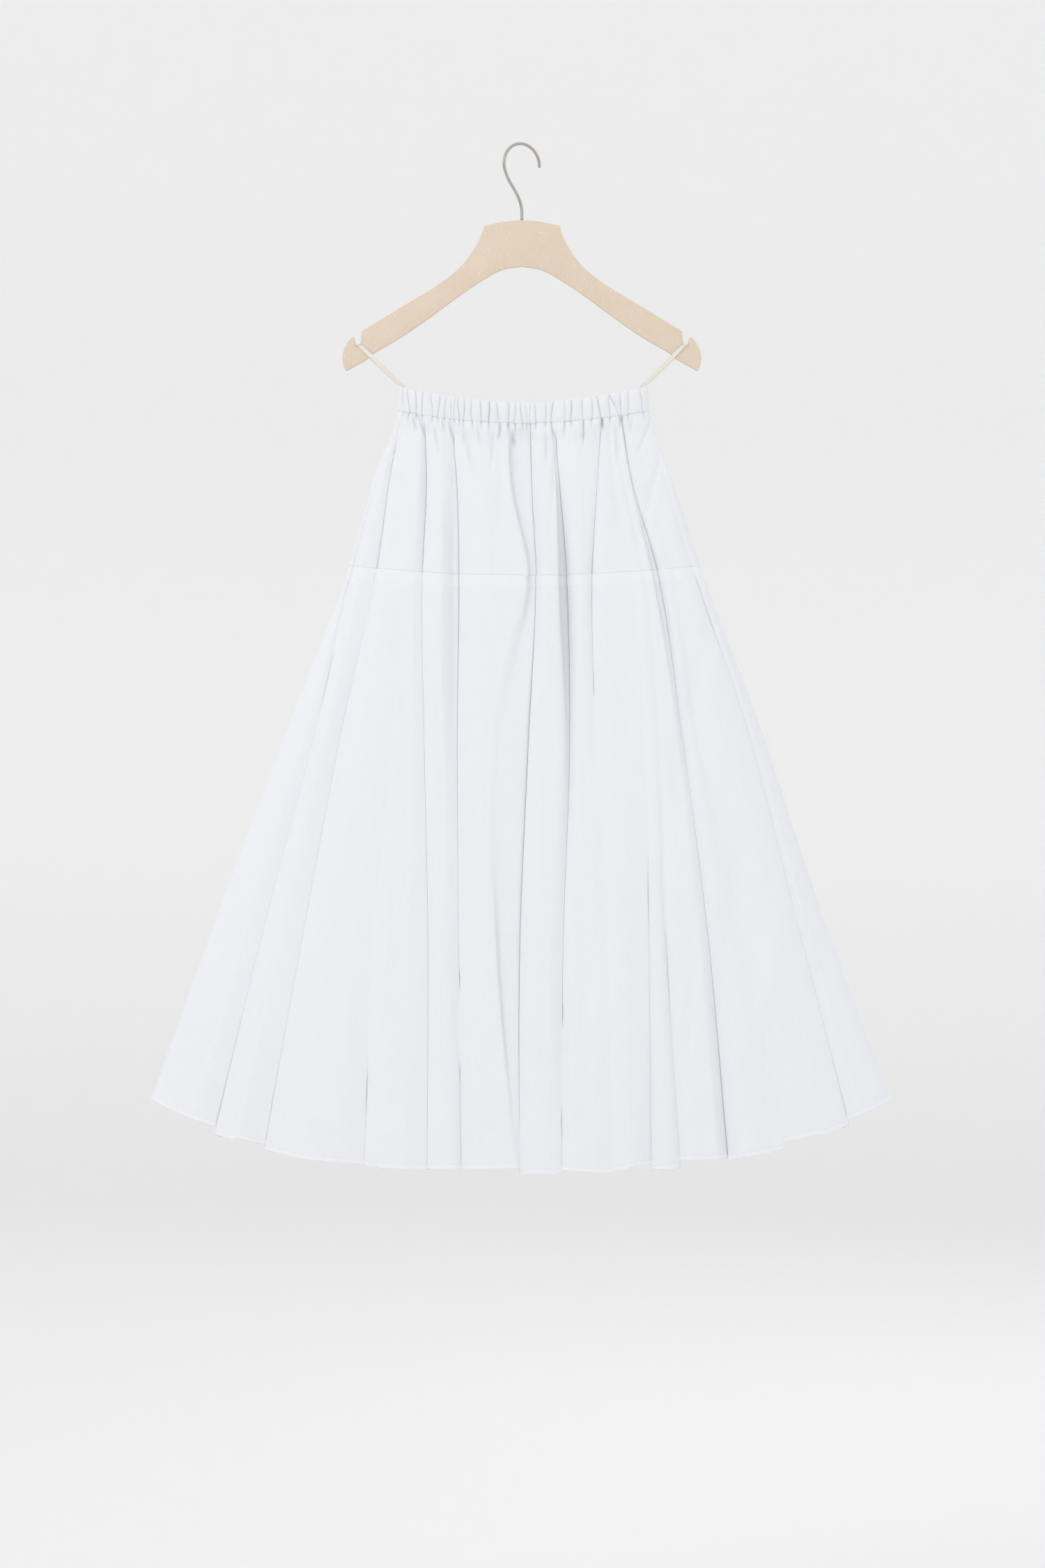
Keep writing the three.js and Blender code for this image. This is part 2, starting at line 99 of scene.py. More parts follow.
def soft_lamp(name, place, size, power, tint=(1, 1, 1)):
    """A soft box at a place, turned towards the middle of the skirt."""
    bpy.ops.object.light_add(type="AREA", location=place)
    lamp = bpy.context.object
    lamp.name = name
    lamp.data.shape = "RECTANGLE"
    lamp.data.size, lamp.data.size_y = size
    lamp.data.energy = power
    lamp.data.color = tint
    away = [a - b for a, b in zip(place, lit_place)]
    flat = math.hypot(away[0], away[1])
    lamp.rotation_euler = (math.atan2(flat, away[2]), 0, math.atan2(away[1], away[0]) + math.pi / 2)


soft_lamp("key", (-2.4, -3.0, 1.6), (1.6, 2.0), 29)
soft_lamp("fill", (3.2, -3.0, 0.4), (2.4, 2.4), 8, (0.97, 0.985, 1))
soft_lamp("back", (1.5, 3.4, 1.4), (2.0, 2.0), 20)

world = bpy.data.worlds.new("pale room")
world.use_nodes = True
world.node_tree.nodes["Background"].inputs["Color"].default_value = (0.97, 0.98, 1, 1)
world.node_tree.nodes["Background"].inputs["Strength"].default_value = 1.05
bpy.context.scene.world = world


# ---------------- how finishes are mixed
# Every finish below is a small set of nodes. A Signal is one socket's value, which adds
# its Math nodes as it is used in an expression.

class Signal:
    def __init__(self, finish, socket):
        self.finish = finish
        self.socket = socket

    def math(self, operation, other):
        return self.finish.node("ShaderNodeMath", {"operation": operation}, (self, other))

    def __add__(self, other):
        return self.math("ADD", other)

    def __mul__(self, other):
        return self.math("MULTIPLY", other)

    __radd__ = __add__
    __rmul__ = __mul__


class Finish:
    def __init__(self, name):
        self.material = bpy.data.materials.new(name)
        self.material.use_nodes = True
        self.tree = self.material.node_tree
        self.shader = self.tree.nodes["Principled BSDF"]

    def node(self, kind, settings, values, output=0):
        """Adds a node: its settings first, then its sockets, by place or by name."""
        made = self.tree.nodes.new(kind)
        for key, value in settings.items():
            if key == "stops":
                for stop, (place, shade) in zip(made.color_ramp.elements, value):
                    stop.position = place
                    stop.color = (shade, shade, shade, 1)
            else:
                setattr(made, key, value)
        for key, value in values.items() if isinstance(values, dict) else enumerate(values):
            self.join(made.inputs[key], value)
        return Signal(self, made.outputs[output])

    def join(self, socket, value):
        if isinstance(value, Signal):
            self.tree.links.new(value.socket, socket)
        else:
            socket.default_value = value

    def set(self, **values):
        """Values, or signals where they vary, for the shader's own sockets."""
        for key, value in values.items():
            self.join(self.shader.inputs[key.replace("_", " ")], value)

    def place(self, stretch=(1, 1, 1), source="Object"):
        """Where a point is on the piece, stretched along each axis."""
        here = self.node("ShaderNodeTexCoord", {}, {}, source)
        return self.node("ShaderNodeMapping", {}, {"Vector": here, "Scale": stretch})

    def noise(self, where, scale, detail=3.0, roughness=0.5):
        return self.node("ShaderNodeTexNoise", {}, {
            "Vector": where, "Scale": scale, "Detail": detail, "Roughness": roughness})

    def colours(self, low, high, amount):
        return self.node("ShaderNodeMix", {"data_type": "RGBA"}, {
            "Factor": amount, 6: (*low, 1), 7: (*high, 1)}, 2)

    def raised(self, height, distance, strength=1.0):
        return self.node("ShaderNodeBump", {}, {
            "Height": height, "Distance": distance, "Strength": strength})


studio_finish = Finish("studio wall")
height = studio_finish.node("ShaderNodeSeparateXYZ", {}, (studio_finish.place(),), 2)
up_the_wall = studio_finish.node(
    "ShaderNodeMapRange", {}, {"Value": height, "From Min": floor_level, "From Max": 1.2})
floor_shade_and_patches = up_the_wall + 0.06 * studio_finish.noise(studio_finish.place(), 0.6)
# Painted shade: darker on the floor and lighter up the wall, with faint random patches; a faint glow of
# its own is painted light.
studio_finish.set(
    Base_Color=studio_finish.colours((0.60, 0.594, 0.59), (0.845, 0.84, 0.838), floor_shade_and_patches),
    Roughness=0.95, Specular_IOR_Level=0.1, Emission_Color=(1, 0.995, 0.99, 1), Emission_Strength=0.10)
studio.data.materials.append(studio_finish.material)


def dress(piece, finish, slot, *nodes):
    """Gives a piece its finish, fixes it to the body and lets it stand for its solids."""
    piece.data.materials.clear()
    piece.data.materials.append(finish.material)
    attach(piece, "root")
    if nodes:
        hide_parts(*nodes)


def select_only(piece):
    bpy.ops.object.select_all(action="DESELECT")
    piece.select_set(True)
    bpy.context.view_layer.objects.active = piece


def edit_all(operator, **settings):
    """Runs an operator on all of the active mesh."""
    bpy.ops.object.mode_set(mode="EDIT")
    bpy.ops.mesh.select_all(action="SELECT")
    operator(**settings)
    bpy.ops.object.mode_set(mode="OBJECT")


def unit(vectors):
    return vectors / np.maximum(np.linalg.norm(vectors, axis=-1, keepdims=True), 1e-12)


def sheet_grid(name, points, wrap_along=False, wrap_round=False):
    """A grid of faces moved onto rows of points; wrapping closes it on itself."""
    if wrap_along:
        points = np.concatenate([points, points[:, :1]], 1)
    if wrap_round:
        points = np.concatenate([points, points[:1]], 0)
    rows, columns = points.shape[:2]
    bpy.ops.mesh.primitive_grid_add(x_subdivisions=columns - 1, y_subdivisions=rows - 1, size=2)
    piece = bpy.context.object
    piece.name = piece.data.name = name
    flat = np.zeros(len(piece.data.vertices) * 3)
    piece.data.vertices.foreach_get("co", flat)
    flat = flat.reshape(-1, 3)
    column = np.rint((flat[:, 0] + 1) / 2 * (columns - 1)).astype(int)
    row = np.rint((1 - flat[:, 1]) / 2 * (rows - 1)).astype(int)
    piece.data.vertices.foreach_set("co", points[row, column].ravel())
    along = np.linalg.norm(np.diff(points, axis=1), axis=2)
    along = np.concatenate([np.zeros((rows, 1)), np.cumsum(along, 1)], 1)
    along = along - along[:, columns // 2:columns // 2 + 1]
    down = np.linalg.norm(np.diff(points, axis=0), axis=2)
    down = np.concatenate([np.zeros((1, columns)), np.cumsum(down, 0)], 0)
    uv = np.stack([along, -down], 2)
    corners = np.zeros(len(piece.data.loops), int)
    piece.data.loops.foreach_get("vertex_index", corners)
    piece.data.uv_layers[0].data.foreach_set("uv", uv[row[corners], column[corners]].ravel())
    piece.data.update()
    if wrap_along or wrap_round:
        edit_all(bpy.ops.mesh.remove_doubles, threshold=1e-7)
    bpy.ops.object.shade_smooth()
    return piece


# ---------------- hook
# Satin nickel wire, bent over the rail in a half circle and back to the middle of the
# board, its cut end rounded off.

wire_radius = 1.9 * mm
hook_radius = 25.5 * mm
hook_turn = math.radians(32)
tip_angles = (1.5, 1.1, 0.6)


def smooth_route(points, steps):
    """A centripetal spline through rows of numbers, with the same steps in each span."""
    points = np.asarray(points, float)
    spans = np.sqrt(np.maximum(np.linalg.norm(np.diff(points, axis=0), axis=1), 1e-9))
    slopes = np.diff(points, axis=0) / spans[:, None]
    tangents = np.empty_like(points)
    tangents[0], tangents[-1] = slopes[0], slopes[-1]
    before, after = spans[:-1, None], spans[1:, None]
    tangents[1:-1] = (slopes[:-1] * after + slopes[1:] * before) / (before + after)
    t = np.arange(steps)[None, :, None] / steps
    a, b = points[:-1, None], points[1:, None]
    m, n = tangents[:-1, None] * spans[:, None, None], tangents[1:, None] * spans[:, None, None]
    curve = (a * (2 * t**3 - 3 * t**2 + 1) + m * (t**3 - 2 * t**2 + t)
             + b * (3 * t**2 - 2 * t**3) + n * (t**3 - t**2))
    return np.concatenate([curve.reshape(-1, points.shape[1]), points[-1:]])


hook_centre = wire_radius - hook_radius
arc = [(hook_radius * math.cos(a), hook_centre + hook_radius * math.sin(a))
       for a in np.linspace(0, math.pi * 1.1, 13)]
stem = [(-18.5, -44), (-12, -53), (-5.6, -62.5), (-1.6, -71.5), (0, -80), (0, -91.7)]
route = smooth_route(arc + [(x * mm, z * mm) for x, z in stem], 6)
ahead = unit(np.gradient(route, axis=0))
tip = [route[0] - ahead[0] * wire_radius * math.sin(a) for a in tip_angles]
swell = np.concatenate([np.cos(tip_angles), np.ones(len(route))])
route = np.concatenate([tip, route])
ahead = np.concatenate([ahead[:1]] * len(tip) + [ahead])
around = np.linspace(0, 2 * math.pi, 17)[:-1]
outward = np.stack([-ahead[:, 1], ahead[:, 0]], 1)
ring = wire_radius * swell[:, None]
in_plane = route[:, None] + outward[:, None] * (ring * np.cos(around))[:, :, None]
off_plane = ring * np.sin(around)
wire = np.stack([in_plane[..., 0] * math.cos(hook_turn) - off_plane * math.sin(hook_turn),
                 in_plane[..., 0] * math.sin(hook_turn) + off_plane * math.cos(hook_turn),
                 in_plane[..., 1]], 2)
hook = sheet_grid("hook", wire, wrap_along=True)
bpy.ops.object.mode_set(mode="EDIT")
bpy.ops.mesh.select_all(action="DESELECT")
bpy.ops.mesh.select_non_manifold()
bpy.ops.mesh.edge_face_add()
bpy.ops.object.mode_set(mode="OBJECT")
edit_all(bpy.ops.mesh.normals_make_consistent, inside=False)

nickel = Finish("satin nickel")
brushed = nickel.noise(nickel.place((1, 1, 0.12)), 2600, 2)
worn = nickel.noise(nickel.place(), 90, 3)
nickel.set(
    Base_Color=nickel.colours((0.40, 0.37, 0.335), (0.54, 0.51, 0.47), worn),
    Roughness=0.24 + worn * 0.16,
    Normal=nickel.raised(brushed, 0.05 * mm, 0.4),
    Metallic=1.0)
dress(hook, nickel, "wire", "hanger_hook")


# ---------------- hanger board
# Pale fibreboard 10 mm thick, cut in one outline with a notch near each end for the
# loops, its edges just broken. The face is left bare.

board_thickness = 10 * mm
edge_break = 0.7 * mm
sharp_angle = math.radians(40)
neck = smooth_route([(46, -99), (50, -111), (56, -123), (74, -148), (100, -169), (148.4, -198.6)], 5)
notch = [(195.6, -227.5), (196.7, -243), (202.9, -243)]
lobe = smooth_route([(203.6, -236), (206.5, -234.6), (211, -239), (216, -247.5), (218.7, -258),
                     (218, -267), (215, -274.6), (213.4, -275)], 4)
under = smooth_route([(213.4, -275), (187.5, -260), (182, -255), (148.5, -235), (116, -213),
                      (83.5, -189), (50, -166), (24, -152), (0, -147.8)], 4)
crest = smooth_route([(0, -92), (24, -94), (46, -99)], 5)
half_outline = np.concatenate([crest[:-1], neck, notch, lobe[:-1], under])
outline = np.concatenate([half_outline, half_outline[-2:0:-1] * (-1, 1)]) * mm

bpy.ops.mesh.primitive_circle_add(vertices=len(outline), fill_type="NGON")
hanger = bpy.context.object
hanger.name = hanger.data.name = "board"
front_face = np.stack([outline[:, 0], np.full(len(outline), -board_thickness / 2), outline[:, 1]], 1)
hanger.data.vertices.foreach_set("co", front_face.ravel())
edit_all(bpy.ops.mesh.extrude_region_move, TRANSFORM_OT_translate={"value": (0, board_thickness, 0)})
edit_all(bpy.ops.mesh.normals_make_consistent, inside=False)
broken = hanger.modifiers.new("broken edges", "BEVEL")
broken.width = edge_break
broken.segments = 3
broken.angle_limit = sharp_angle
bpy.ops.object.modifier_apply(modifier=broken.name)
bpy.ops.object.shade_smooth_by_angle(angle=sharp_angle)

fibreboard = Finish("fibreboard")
grainy = fibreboard.place()
cloudy = fibreboard.noise(grainy, 28, 4)
fibres = fibreboard.noise(fibreboard.place((1, 1, 2.2)), 430, 4, 0.7)
flecked = fibreboard.colours((0.745, 0.615, 0.475), (0.805, 0.685, 0.545), cloudy)
for grains, start, strength, colour in (
        (fibres, 0.62, 0.8, (0.50, 0.36, 0.24, 1)),
        (fibreboard.noise(grainy, 340, 3, 0.6), 0.60, 0.7, (0.9, 0.83, 0.72, 1))):
    specks = fibreboard.node("ShaderNodeValToRGB", {"stops": ((start, 0.0), (0.72, 1.0))}, (grains,))
    flecked = fibreboard.node("ShaderNodeMix", {"data_type": "RGBA"}, {
        "Factor": specks * strength, 6: flecked, 7: colour}, 2)
fibreboard.set(
    Base_Color=flecked,
    Roughness=0.66 + cloudy * 0.2,
    Normal=fibreboard.raised(fibres + cloudy * 0.3, 0.12 * mm, 0.6),
    Specular_IOR_Level=0.3)
dress(hanger, fibreboard, "board", "hanger_board")


# ---------------- ribbon loops
# Narrow cream satin ribbon, sewn into the casing's sides, up over the notches and down
# again behind the board.

ribbon_width = 5.4 * mm
ribbon_thickness = 0.55 * mm
ribbon_inset = 4.6 * mm
ribbon_cup = 0.25 * mm
waist_sides = (-152 * mm, 154 * mm)
loop_foot_z = -294.7 * mm
notch_floor = (199.8 * mm, -242.45 * mm)
strand = (
    # share of the way to the notch, drop below that line, y, turn of the width in degrees
    (0, 11, -0.75, 0), (0, 5, -0.75, 2), (0, 0, -0.75, 5), (0.08, 0, -1.2, 24),
    (0.2, 0.4, -2.3, 38), (0.35, 0.6, -3.8, 44), (0.52, 0.5, -5, 45), (0.68, 0.2, -5.8, 44),
    (0.85, 0, -5.75, 32), (0.96, 0, -5.7, 8), (1, 0.4, -5.62, 0), (1, -0.1, -5.1, 0),
    (1, -0.2, -3, 0), (1, -0.2, 0, 0),
)


def thin_shell(piece, thickness, side=-1):
    """Gives a sheet its thickness, inwards (-1) or to both sides (0), and applies it."""
    select_only(piece)
    wall = piece.modifiers.new("thickness", "SOLIDIFY")
    wall.thickness = thickness
    wall.offset = side
    bpy.ops.object.modifier_apply(modifier=wall.name)


satin = Finish("satin ribbon")
ribs = satin.place(source="UV")
lengthwise = satin.node("ShaderNodeTexWave", {"bands_direction": "Y"}, {
    "Vector": ribs, "Scale": 1400, "Distortion": 0.6})
soft_shade = satin.noise(ribs, 160, 2)
satin.set(
    Base_Color=satin.colours((0.80, 0.76, 0.66), (0.90, 0.87, 0.78), soft_shade),
    Roughness=0.32 + soft_shade * 0.16,
    Normal=satin.raised(lengthwise + soft_shade * 2, 0.05 * mm, 0.5),
    Sheen_Weight=0.3, Sheen_Roughness=0.4)

for waist_side in waist_sides:
    side = math.copysign(1, waist_side)
    foot_x = waist_side - side * (ribbon_inset + ribbon_width / 2)
    climb = []
    for share, drop, y, flat in strand:
        x = foot_x + (side * notch_floor[0] - foot_x) * share
        z = loop_foot_z + (notch_floor[1] - loop_foot_z) * share - drop * mm
        climb.append((x, y * mm, z, -side * math.radians(flat)))
    climb = climb + [(x, -y, z, turn) for x, y, z, turn in climb[-2::-1]]
    climb = smooth_route(climb, 4)
    forward = np.gradient(climb[:, :3], axis=0)
    across = np.stack([np.cos(climb[:, 3]), np.zeros(len(climb)), np.sin(climb[:, 3])], 1)
    facing = unit(np.cross(forward, across))
    spread = np.linspace(-1, 1, 9)[None, :, None]
    strip = (climb[:, None, :3] + across[:, None] * spread * ribbon_width / 2
             - facing[:, None] * ribbon_cup * np.abs(spread) ** 4)
    name = "left" if side < 0 else "right"
    loop = sheet_grid("ribbon_" + name, strip)
    thin_shell(loop, ribbon_thickness, 0)
    dress(loop, satin, "ribbon", "ribbon_loop_" + name)


# ---------------- waist casing
# White cotton folded over a 25 mm elastic and stitched below it: some thirty-five gathers
# on each side, uneven, with a rounded fold along the top.

# The skirt's levels. z: the height at the middle. rise and curve: how much higher the sides
# are, and how late they rise. left, right: the sides. front, back: how far the folds stand out.
level_names = ("waist", "stitch", "hip", "seam", "knee", "calf", "hem")
level_table = {
    "z": (-313.6, -341, -417, -534, -733, -970, -1247),
    "rise": (18, 16, 15, 13, 28, 51, 85),
    "curve": (1.9, 1.9, 1.9, 2, 2.2, 2.5, 2.8),
    "left": (-152, -151, -179, -213, -284, -365, -452),
    "right": (154, 156, 182, 221, 290, 361, 451),
    "front": (12, 13, 23, 35, 49, 61, 71),
    "back": (11, 12, 21, 31, 43, 53, 61),
}
level_z = dict(zip(level_names, level_table["z"]))
roundness = 2.6


def smooth_at(heights, values, z):
    """The value at a height, on a smooth curve through values at falling heights."""
    z = min(max(z, heights[-1]), heights[0])
    i = min(max(sum(height > z for height in heights) - 1, 0), len(heights) - 2)
    slope = [(values[k + 1] - values[k]) / (heights[k + 1] - heights[k]) for k in range(len(heights) - 1)]
    start = (slope[i - 1] + slope[i]) / 2 if i else slope[i]
    end = (slope[i] + slope[i + 1]) / 2 if i + 2 < len(heights) else slope[i]
    step = heights[i + 1] - heights[i]
    t = (z - heights[i]) / step
    bend = start * step * t * (1 - t) ** 2 - end * step * t * t * (1 - t)
    return values[i] + (values[i + 1] - values[i]) * t * t * (3 - 2 * t) + bend


def level_at(z):
    return {key: smooth_at(level_table["z"], values, z) for key, values in level_table.items()}


def sides_at(half, z):
    level = level_at(z)
    return (level["left"], level["right"]) if half == "front" else (-level["right"], -level["left"])


def side_share(half, z, x):
    """0 at the middle of a half and 1 at its sides."""
    left, right = sides_at(half, z)
    return np.minimum(np.abs(x / np.where(x < 0, left, right)), 1)


def crown_at(half, z, x):
    """How far a half's folds stand off the middle plane."""
    return level_at(z)[half] * (1 - side_share(half, z, x) ** roundness) ** (1 / roundness)


def off_sides(x, left, right):
    """0 at the sides, where front and back meet, rising to 1 within 9.5 mm."""
    return np.clip((np.minimum(x - left, right - x) - 0.5) / 9, 0, 1)


def at_height(half, z, x, y):
    """Section points in millimetres put at their height, in metres, the back turned round."""
    level = level_at(z)
    rise = level["rise"] * side_share(half, z, x) ** level["curve"]
    placed = np.stack([x, y, z + rise], -1) * mm
    return placed if half == "front" else placed * (-1, -1, 1)


def faces_of(points, closed=False):
    """Outward normals of rows of points that run from left to right and from top to bottom."""
    if closed:
        along = np.roll(points, -1, 1) - np.roll(points, 1, 1)
    else:
        along = np.gradient(points, axis=1)
    return unit(np.cross(np.gradient(points, axis=0), along))


# Where the casing is creased, from left to right as each side is seen: at its top fold and
# at its stitching. The front's right part is looser, with slanting tucks.
casing_creases = {
    "front": (
        (-152, -151), (-145, -144), (-139, -137), (-130, -128), (-120, -121), (-110, -109), (-100, -102),
        (-91, -94), (-87, -87), (-82, -82), (-77, -76), (-70, -71), (-62, -60), (-49, -50), (-40, -40),
        (-30, -27), (-15, -17), (-8, -8), (-1, 1), (4, 6), (10, 10.5), (17, 17), (29, 29), (38, 36),
        (53, 52), (60, 60), (74, 75), (86, 85), (90, 98), (107, 107), (106, 119), (119, 122), (131, 129),
        (143, 148), (154, 156)),
    "back": (
        (-154, -156), (-146, -147), (-136, -138), (-130, -129), (-119, -121), (-112, -111), (-101, -102),
        (-94, -93), (-83, -86), (-79, -78), (-70, -71), (-62, -61), (-50, -52), (-44, -44), (-33, -32),
        (-25, -26), (-14, -15), (-8, -7), (2, 1), (9, 9), (20, 19), (26, 27), (38, 36), (44, 45),
        (57, 56), (63, 62), (71, 74), (82, 82), (89, 91), (101, 100), (108, 110), (119, 120), (128, 127),
        (138, 140), (145, 145), (152, 151)),
}
columns_per_crease = 10
top_sag = 2.7
casing_wall = 3.4
fold_height = 1.5 * mm
casing_rows = 13


def puffs(half):
    """For a half's fine columns: the crease to the left, the share of the way to the next."""
    creases = casing_creases[half]
    number = np.repeat(np.arange(len(creases) - 1), columns_per_crease)
    share = np.tile(np.arange(columns_per_crease) / columns_per_crease, len(creases) - 1)
    return np.append(number, len(creases) - 2), np.append(share, 1.0)


def puff_height(half, x, lines):
    """How far the gathers stand out (or in, in a crease) at x, between crease lines."""
    number = np.clip(np.searchsorted(lines, x, side="right") - 1, 0, len(lines) - 2)
    width = lines[number + 1] - lines[number]
    share = np.clip((x - lines[number]) / width, 0, 1)
    draw = np.random.default_rng(5 if half == "front" else 9)
    full = draw.uniform(0.7, 1.25, len(lines))[number]
    lean = draw.uniform(-0.16, 0.16, len(lines))[number]
    share = share + lean * np.sin(math.pi * share)
    ridge = np.sin(math.pi * share) ** 0.42
    return ridge * np.clip(0.34 * width, 1.3, 3.2) * full - 1.6


def casing_ring(drop_share):
    """One round of the casing's outer face, from its top fold (0) to its stitching (1)."""
    z = level_z["waist"] + (level_z["stitch"] - level_z["waist"]) * drop_share
    bulge = 1.3 * (1 - abs(2 * drop_share - 1) ** 3) - 0.5 * drop_share
    soft = 0.75 + 0.25 * math.sin(math.pi * min(drop_share * 1.2, 1))
    halves = []
    for half in ("front", "back"):
        lines = np.array([top + (foot - top) * drop_share for top, foot in casing_creases[half]])
        lines += 0.9 * np.sin(np.arange(len(lines)) * 2.3 + drop_share * 3.1)
        left, right = sides_at(half, z)
        lines[0], lines[-1] = left, right
        number, share = puffs(half)
        x = lines[number] + (lines[number + 1] - lines[number]) * share
        side = off_sides(x, left, right)
        out = (puff_height(half, x, lines) * soft + bulge) * side
        place = at_height(half, z, x, -crown_at(half, z, x) - out)
        place[:, 2] += 0.35 * mm * np.sin(number * 1.7) * (1 - drop_share) * side
        place[:, 2] -= top_sag * mm * (1 - drop_share) * (1 - np.abs(x / left) ** 1.5).clip(0)
        halves.append(place[:-1])
    return np.concatenate(halves)


outer = np.stack([casing_ring(share) for share in np.linspace(0, 1, casing_rows)])
facing_out = faces_of(outer, closed=True)
window = 2 * columns_per_crease + 1
kernel = np.hanning(window + 2)[1:-1]
kernel /= kernel.sum()


def smoothed_round(points):
    """The rounds without their gathers."""
    span = window // 2
    padded = np.concatenate([points[:, -span:], points, points[:, :span]], 1)
    return np.stack([np.stack([np.convolve(row[:, k], kernel, "valid") for k in range(3)], 1)
                     for row in padded])


plain = smoothed_round(outer)
inner = plain - faces_of(plain, closed=True) * (1, 1, 0) * casing_wall * mm
top_fold = []
for angle in np.linspace(0, math.pi, 7)[1:-1]:
    share = (1 - math.cos(angle)) / 2
    lift = math.sin(angle) * fold_height
    top_fold.append(inner[0] * (1 - share) + outer[0] * share + np.array((0, 0, lift)))
tube = np.concatenate([inner[::-1], top_fold, outer])
casing = sheet_grid("casing", tube, wrap_along=True, wrap_round=True)

cotton = Finish("white cotton")
threads = cotton.place(source="UV")
warp, weft = (cotton.node("ShaderNodeTexWave", {"bands_direction": way}, {
    "Vector": threads, "Scale": count, "Distortion": 0.8, "Detail": 1.0})
    for way, count in (("X", 640), ("Y", 700)))
slubs = cotton.noise(cotton.place((1, 0.14, 1), "UV"), 420, 3, 0.6)
ironed_creases_and_shade = cotton.noise(cotton.place((1, 0.2, 1), "UV"), 26, 4, 0.55)
crumple = cotton.noise(threads, 95, 4, 0.6)
creased = cotton.raised(ironed_creases_and_shade * 2.2 + crumple * 0.7, 0.9 * mm, 0.5)
# The colour is partly slub tone and partly painted shade along the pressed creases, darker in their
# hollows.
cotton.set(
    Base_Color=cotton.colours((0.846, 0.858, 0.892), (0.896, 0.906, 0.934), ironed_creases_and_shade * 0.5 + slubs * 0.5),
    Roughness=0.78 + slubs * 0.14,
    Normal=cotton.node("ShaderNodeBump", {}, {
        "Height": warp * weft + slubs * 0.7, "Distance": 0.07 * mm, "Strength": 0.5, "Normal": creased}),
    Sheen_Weight=0.12, Sheen_Roughness=0.6, Specular_IOR_Level=0.28)

dress(casing, cotton, "cotton", "casing_front", "casing_back")

# Its thread shows as three stitches to the centimetre. One stitch is modelled and copied.
thread_radius = 0.16 * mm
stitch_length = 2.5 * mm
stitch_pitch = 3.3 * mm

bpy.ops.mesh.primitive_cylinder_add(
    vertices=6, radius=thread_radius, depth=stitch_length, rotation=(0, math.pi / 2, 0))
bpy.ops.object.transform_apply(location=True, rotation=True, scale=True)
model = bpy.context.object
edit_all(bpy.ops.mesh.subdivide, number_cuts=1)
stitch_points = np.array([vertex.co for vertex in model.data.vertices])
end_share = np.abs(stitch_points[:, 0]) / (stitch_length / 2)
stitch_points[:, 1:] *= (1 - 0.45 * end_share ** 2)[:, None]
stitch_points[:, 2] -= thread_radius * 1.1 * end_share ** 2
stitch_faces = [list(polygon.vertices) for polygon in model.data.polygons]
bpy.data.objects.remove(model)

thread = Finish("white thread")
twist_and_shade = thread.node("ShaderNodeTexWave", {"bands_direction": "DIAGONAL"}, {
    "Vector": thread.place(), "Scale": 900})
# The thread's colour is painted shade, darker in the grooves of its twist.
thread.set(
    Base_Color=thread.colours((0.80, 0.81, 0.83), (0.93, 0.935, 0.94), twist_and_shade),
    Normal=thread.raised(twist_and_shade, 0.05 * mm, 0.6),
    Roughness=0.6)


def stitch_row(name, route, out):
    """Stitches laid end to end along a closed route, on the side that it faces."""
    ahead = np.roll(route, -1, 0) - route
    gone = np.concatenate([[0], np.cumsum(np.linalg.norm(ahead, axis=1))])
    count = int(gone[-1] / stitch_pitch)
    middle = (np.arange(count) + 0.5) * gone[-1] / count

    def along(table, distance):
        closed = np.concatenate([table, table[:1]])
        return np.stack([np.interp(distance, gone, closed[:, k]) for k in range(3)], 1)

    place = along(route, middle)
    reach = stitch_length * 0.4
    lengthways = unit(along(route, np.minimum(middle + reach, gone[-1])) - along(route, middle - reach))
    sideways = unit(np.cross(along(out, middle), lengthways))
    normal = np.cross(lengthways, sideways)
    points = (place[:, None] + lengthways[:, None] * stitch_points[None, :, :1]
              + sideways[:, None] * stitch_points[None, :, 1:2]
              + normal[:, None] * stitch_points[None, :, 2:])
    mesh = bpy.data.meshes.new(name)
    size = len(stitch_points)
    faces = [[corner + size * k for corner in face] for k in range(count) for face in stitch_faces]
    mesh.from_pydata(points.reshape(-1, 3).tolist(), [], faces)
    row = bpy.data.objects.new(name, mesh)
    bpy.context.scene.collection.objects.link(row)
    select_only(row)
    edit_all(bpy.ops.mesh.normals_make_consistent, inside=False)
    bpy.ops.object.shade_smooth()
    dress(row, thread, "cotton")


waist_row = casing_rows - 2
stitch_row("stitches_waist", outer[waist_row] + facing_out[waist_row] * 0.05 * mm, facing_out[waist_row])


# ---------------- hip yoke
# One flat-cut panel on each side, gathered onto the casing. The gathers die out down the
# yoke, while its folds deepen and begin to lie over each other.

cloth = 0.5
strip_height = 16.5
yoke_top = level_z["stitch"] + 0.6
yoke_foot = level_z["seam"] + strip_height / 2 - 3
yoke_rows = 60
yoke_billow = 0.12 * mm
gather_swell = 1.6
tuck_depth = 1.8
behind_strip = 0.2
yoke_column = 0.62
rim_row = 2.2

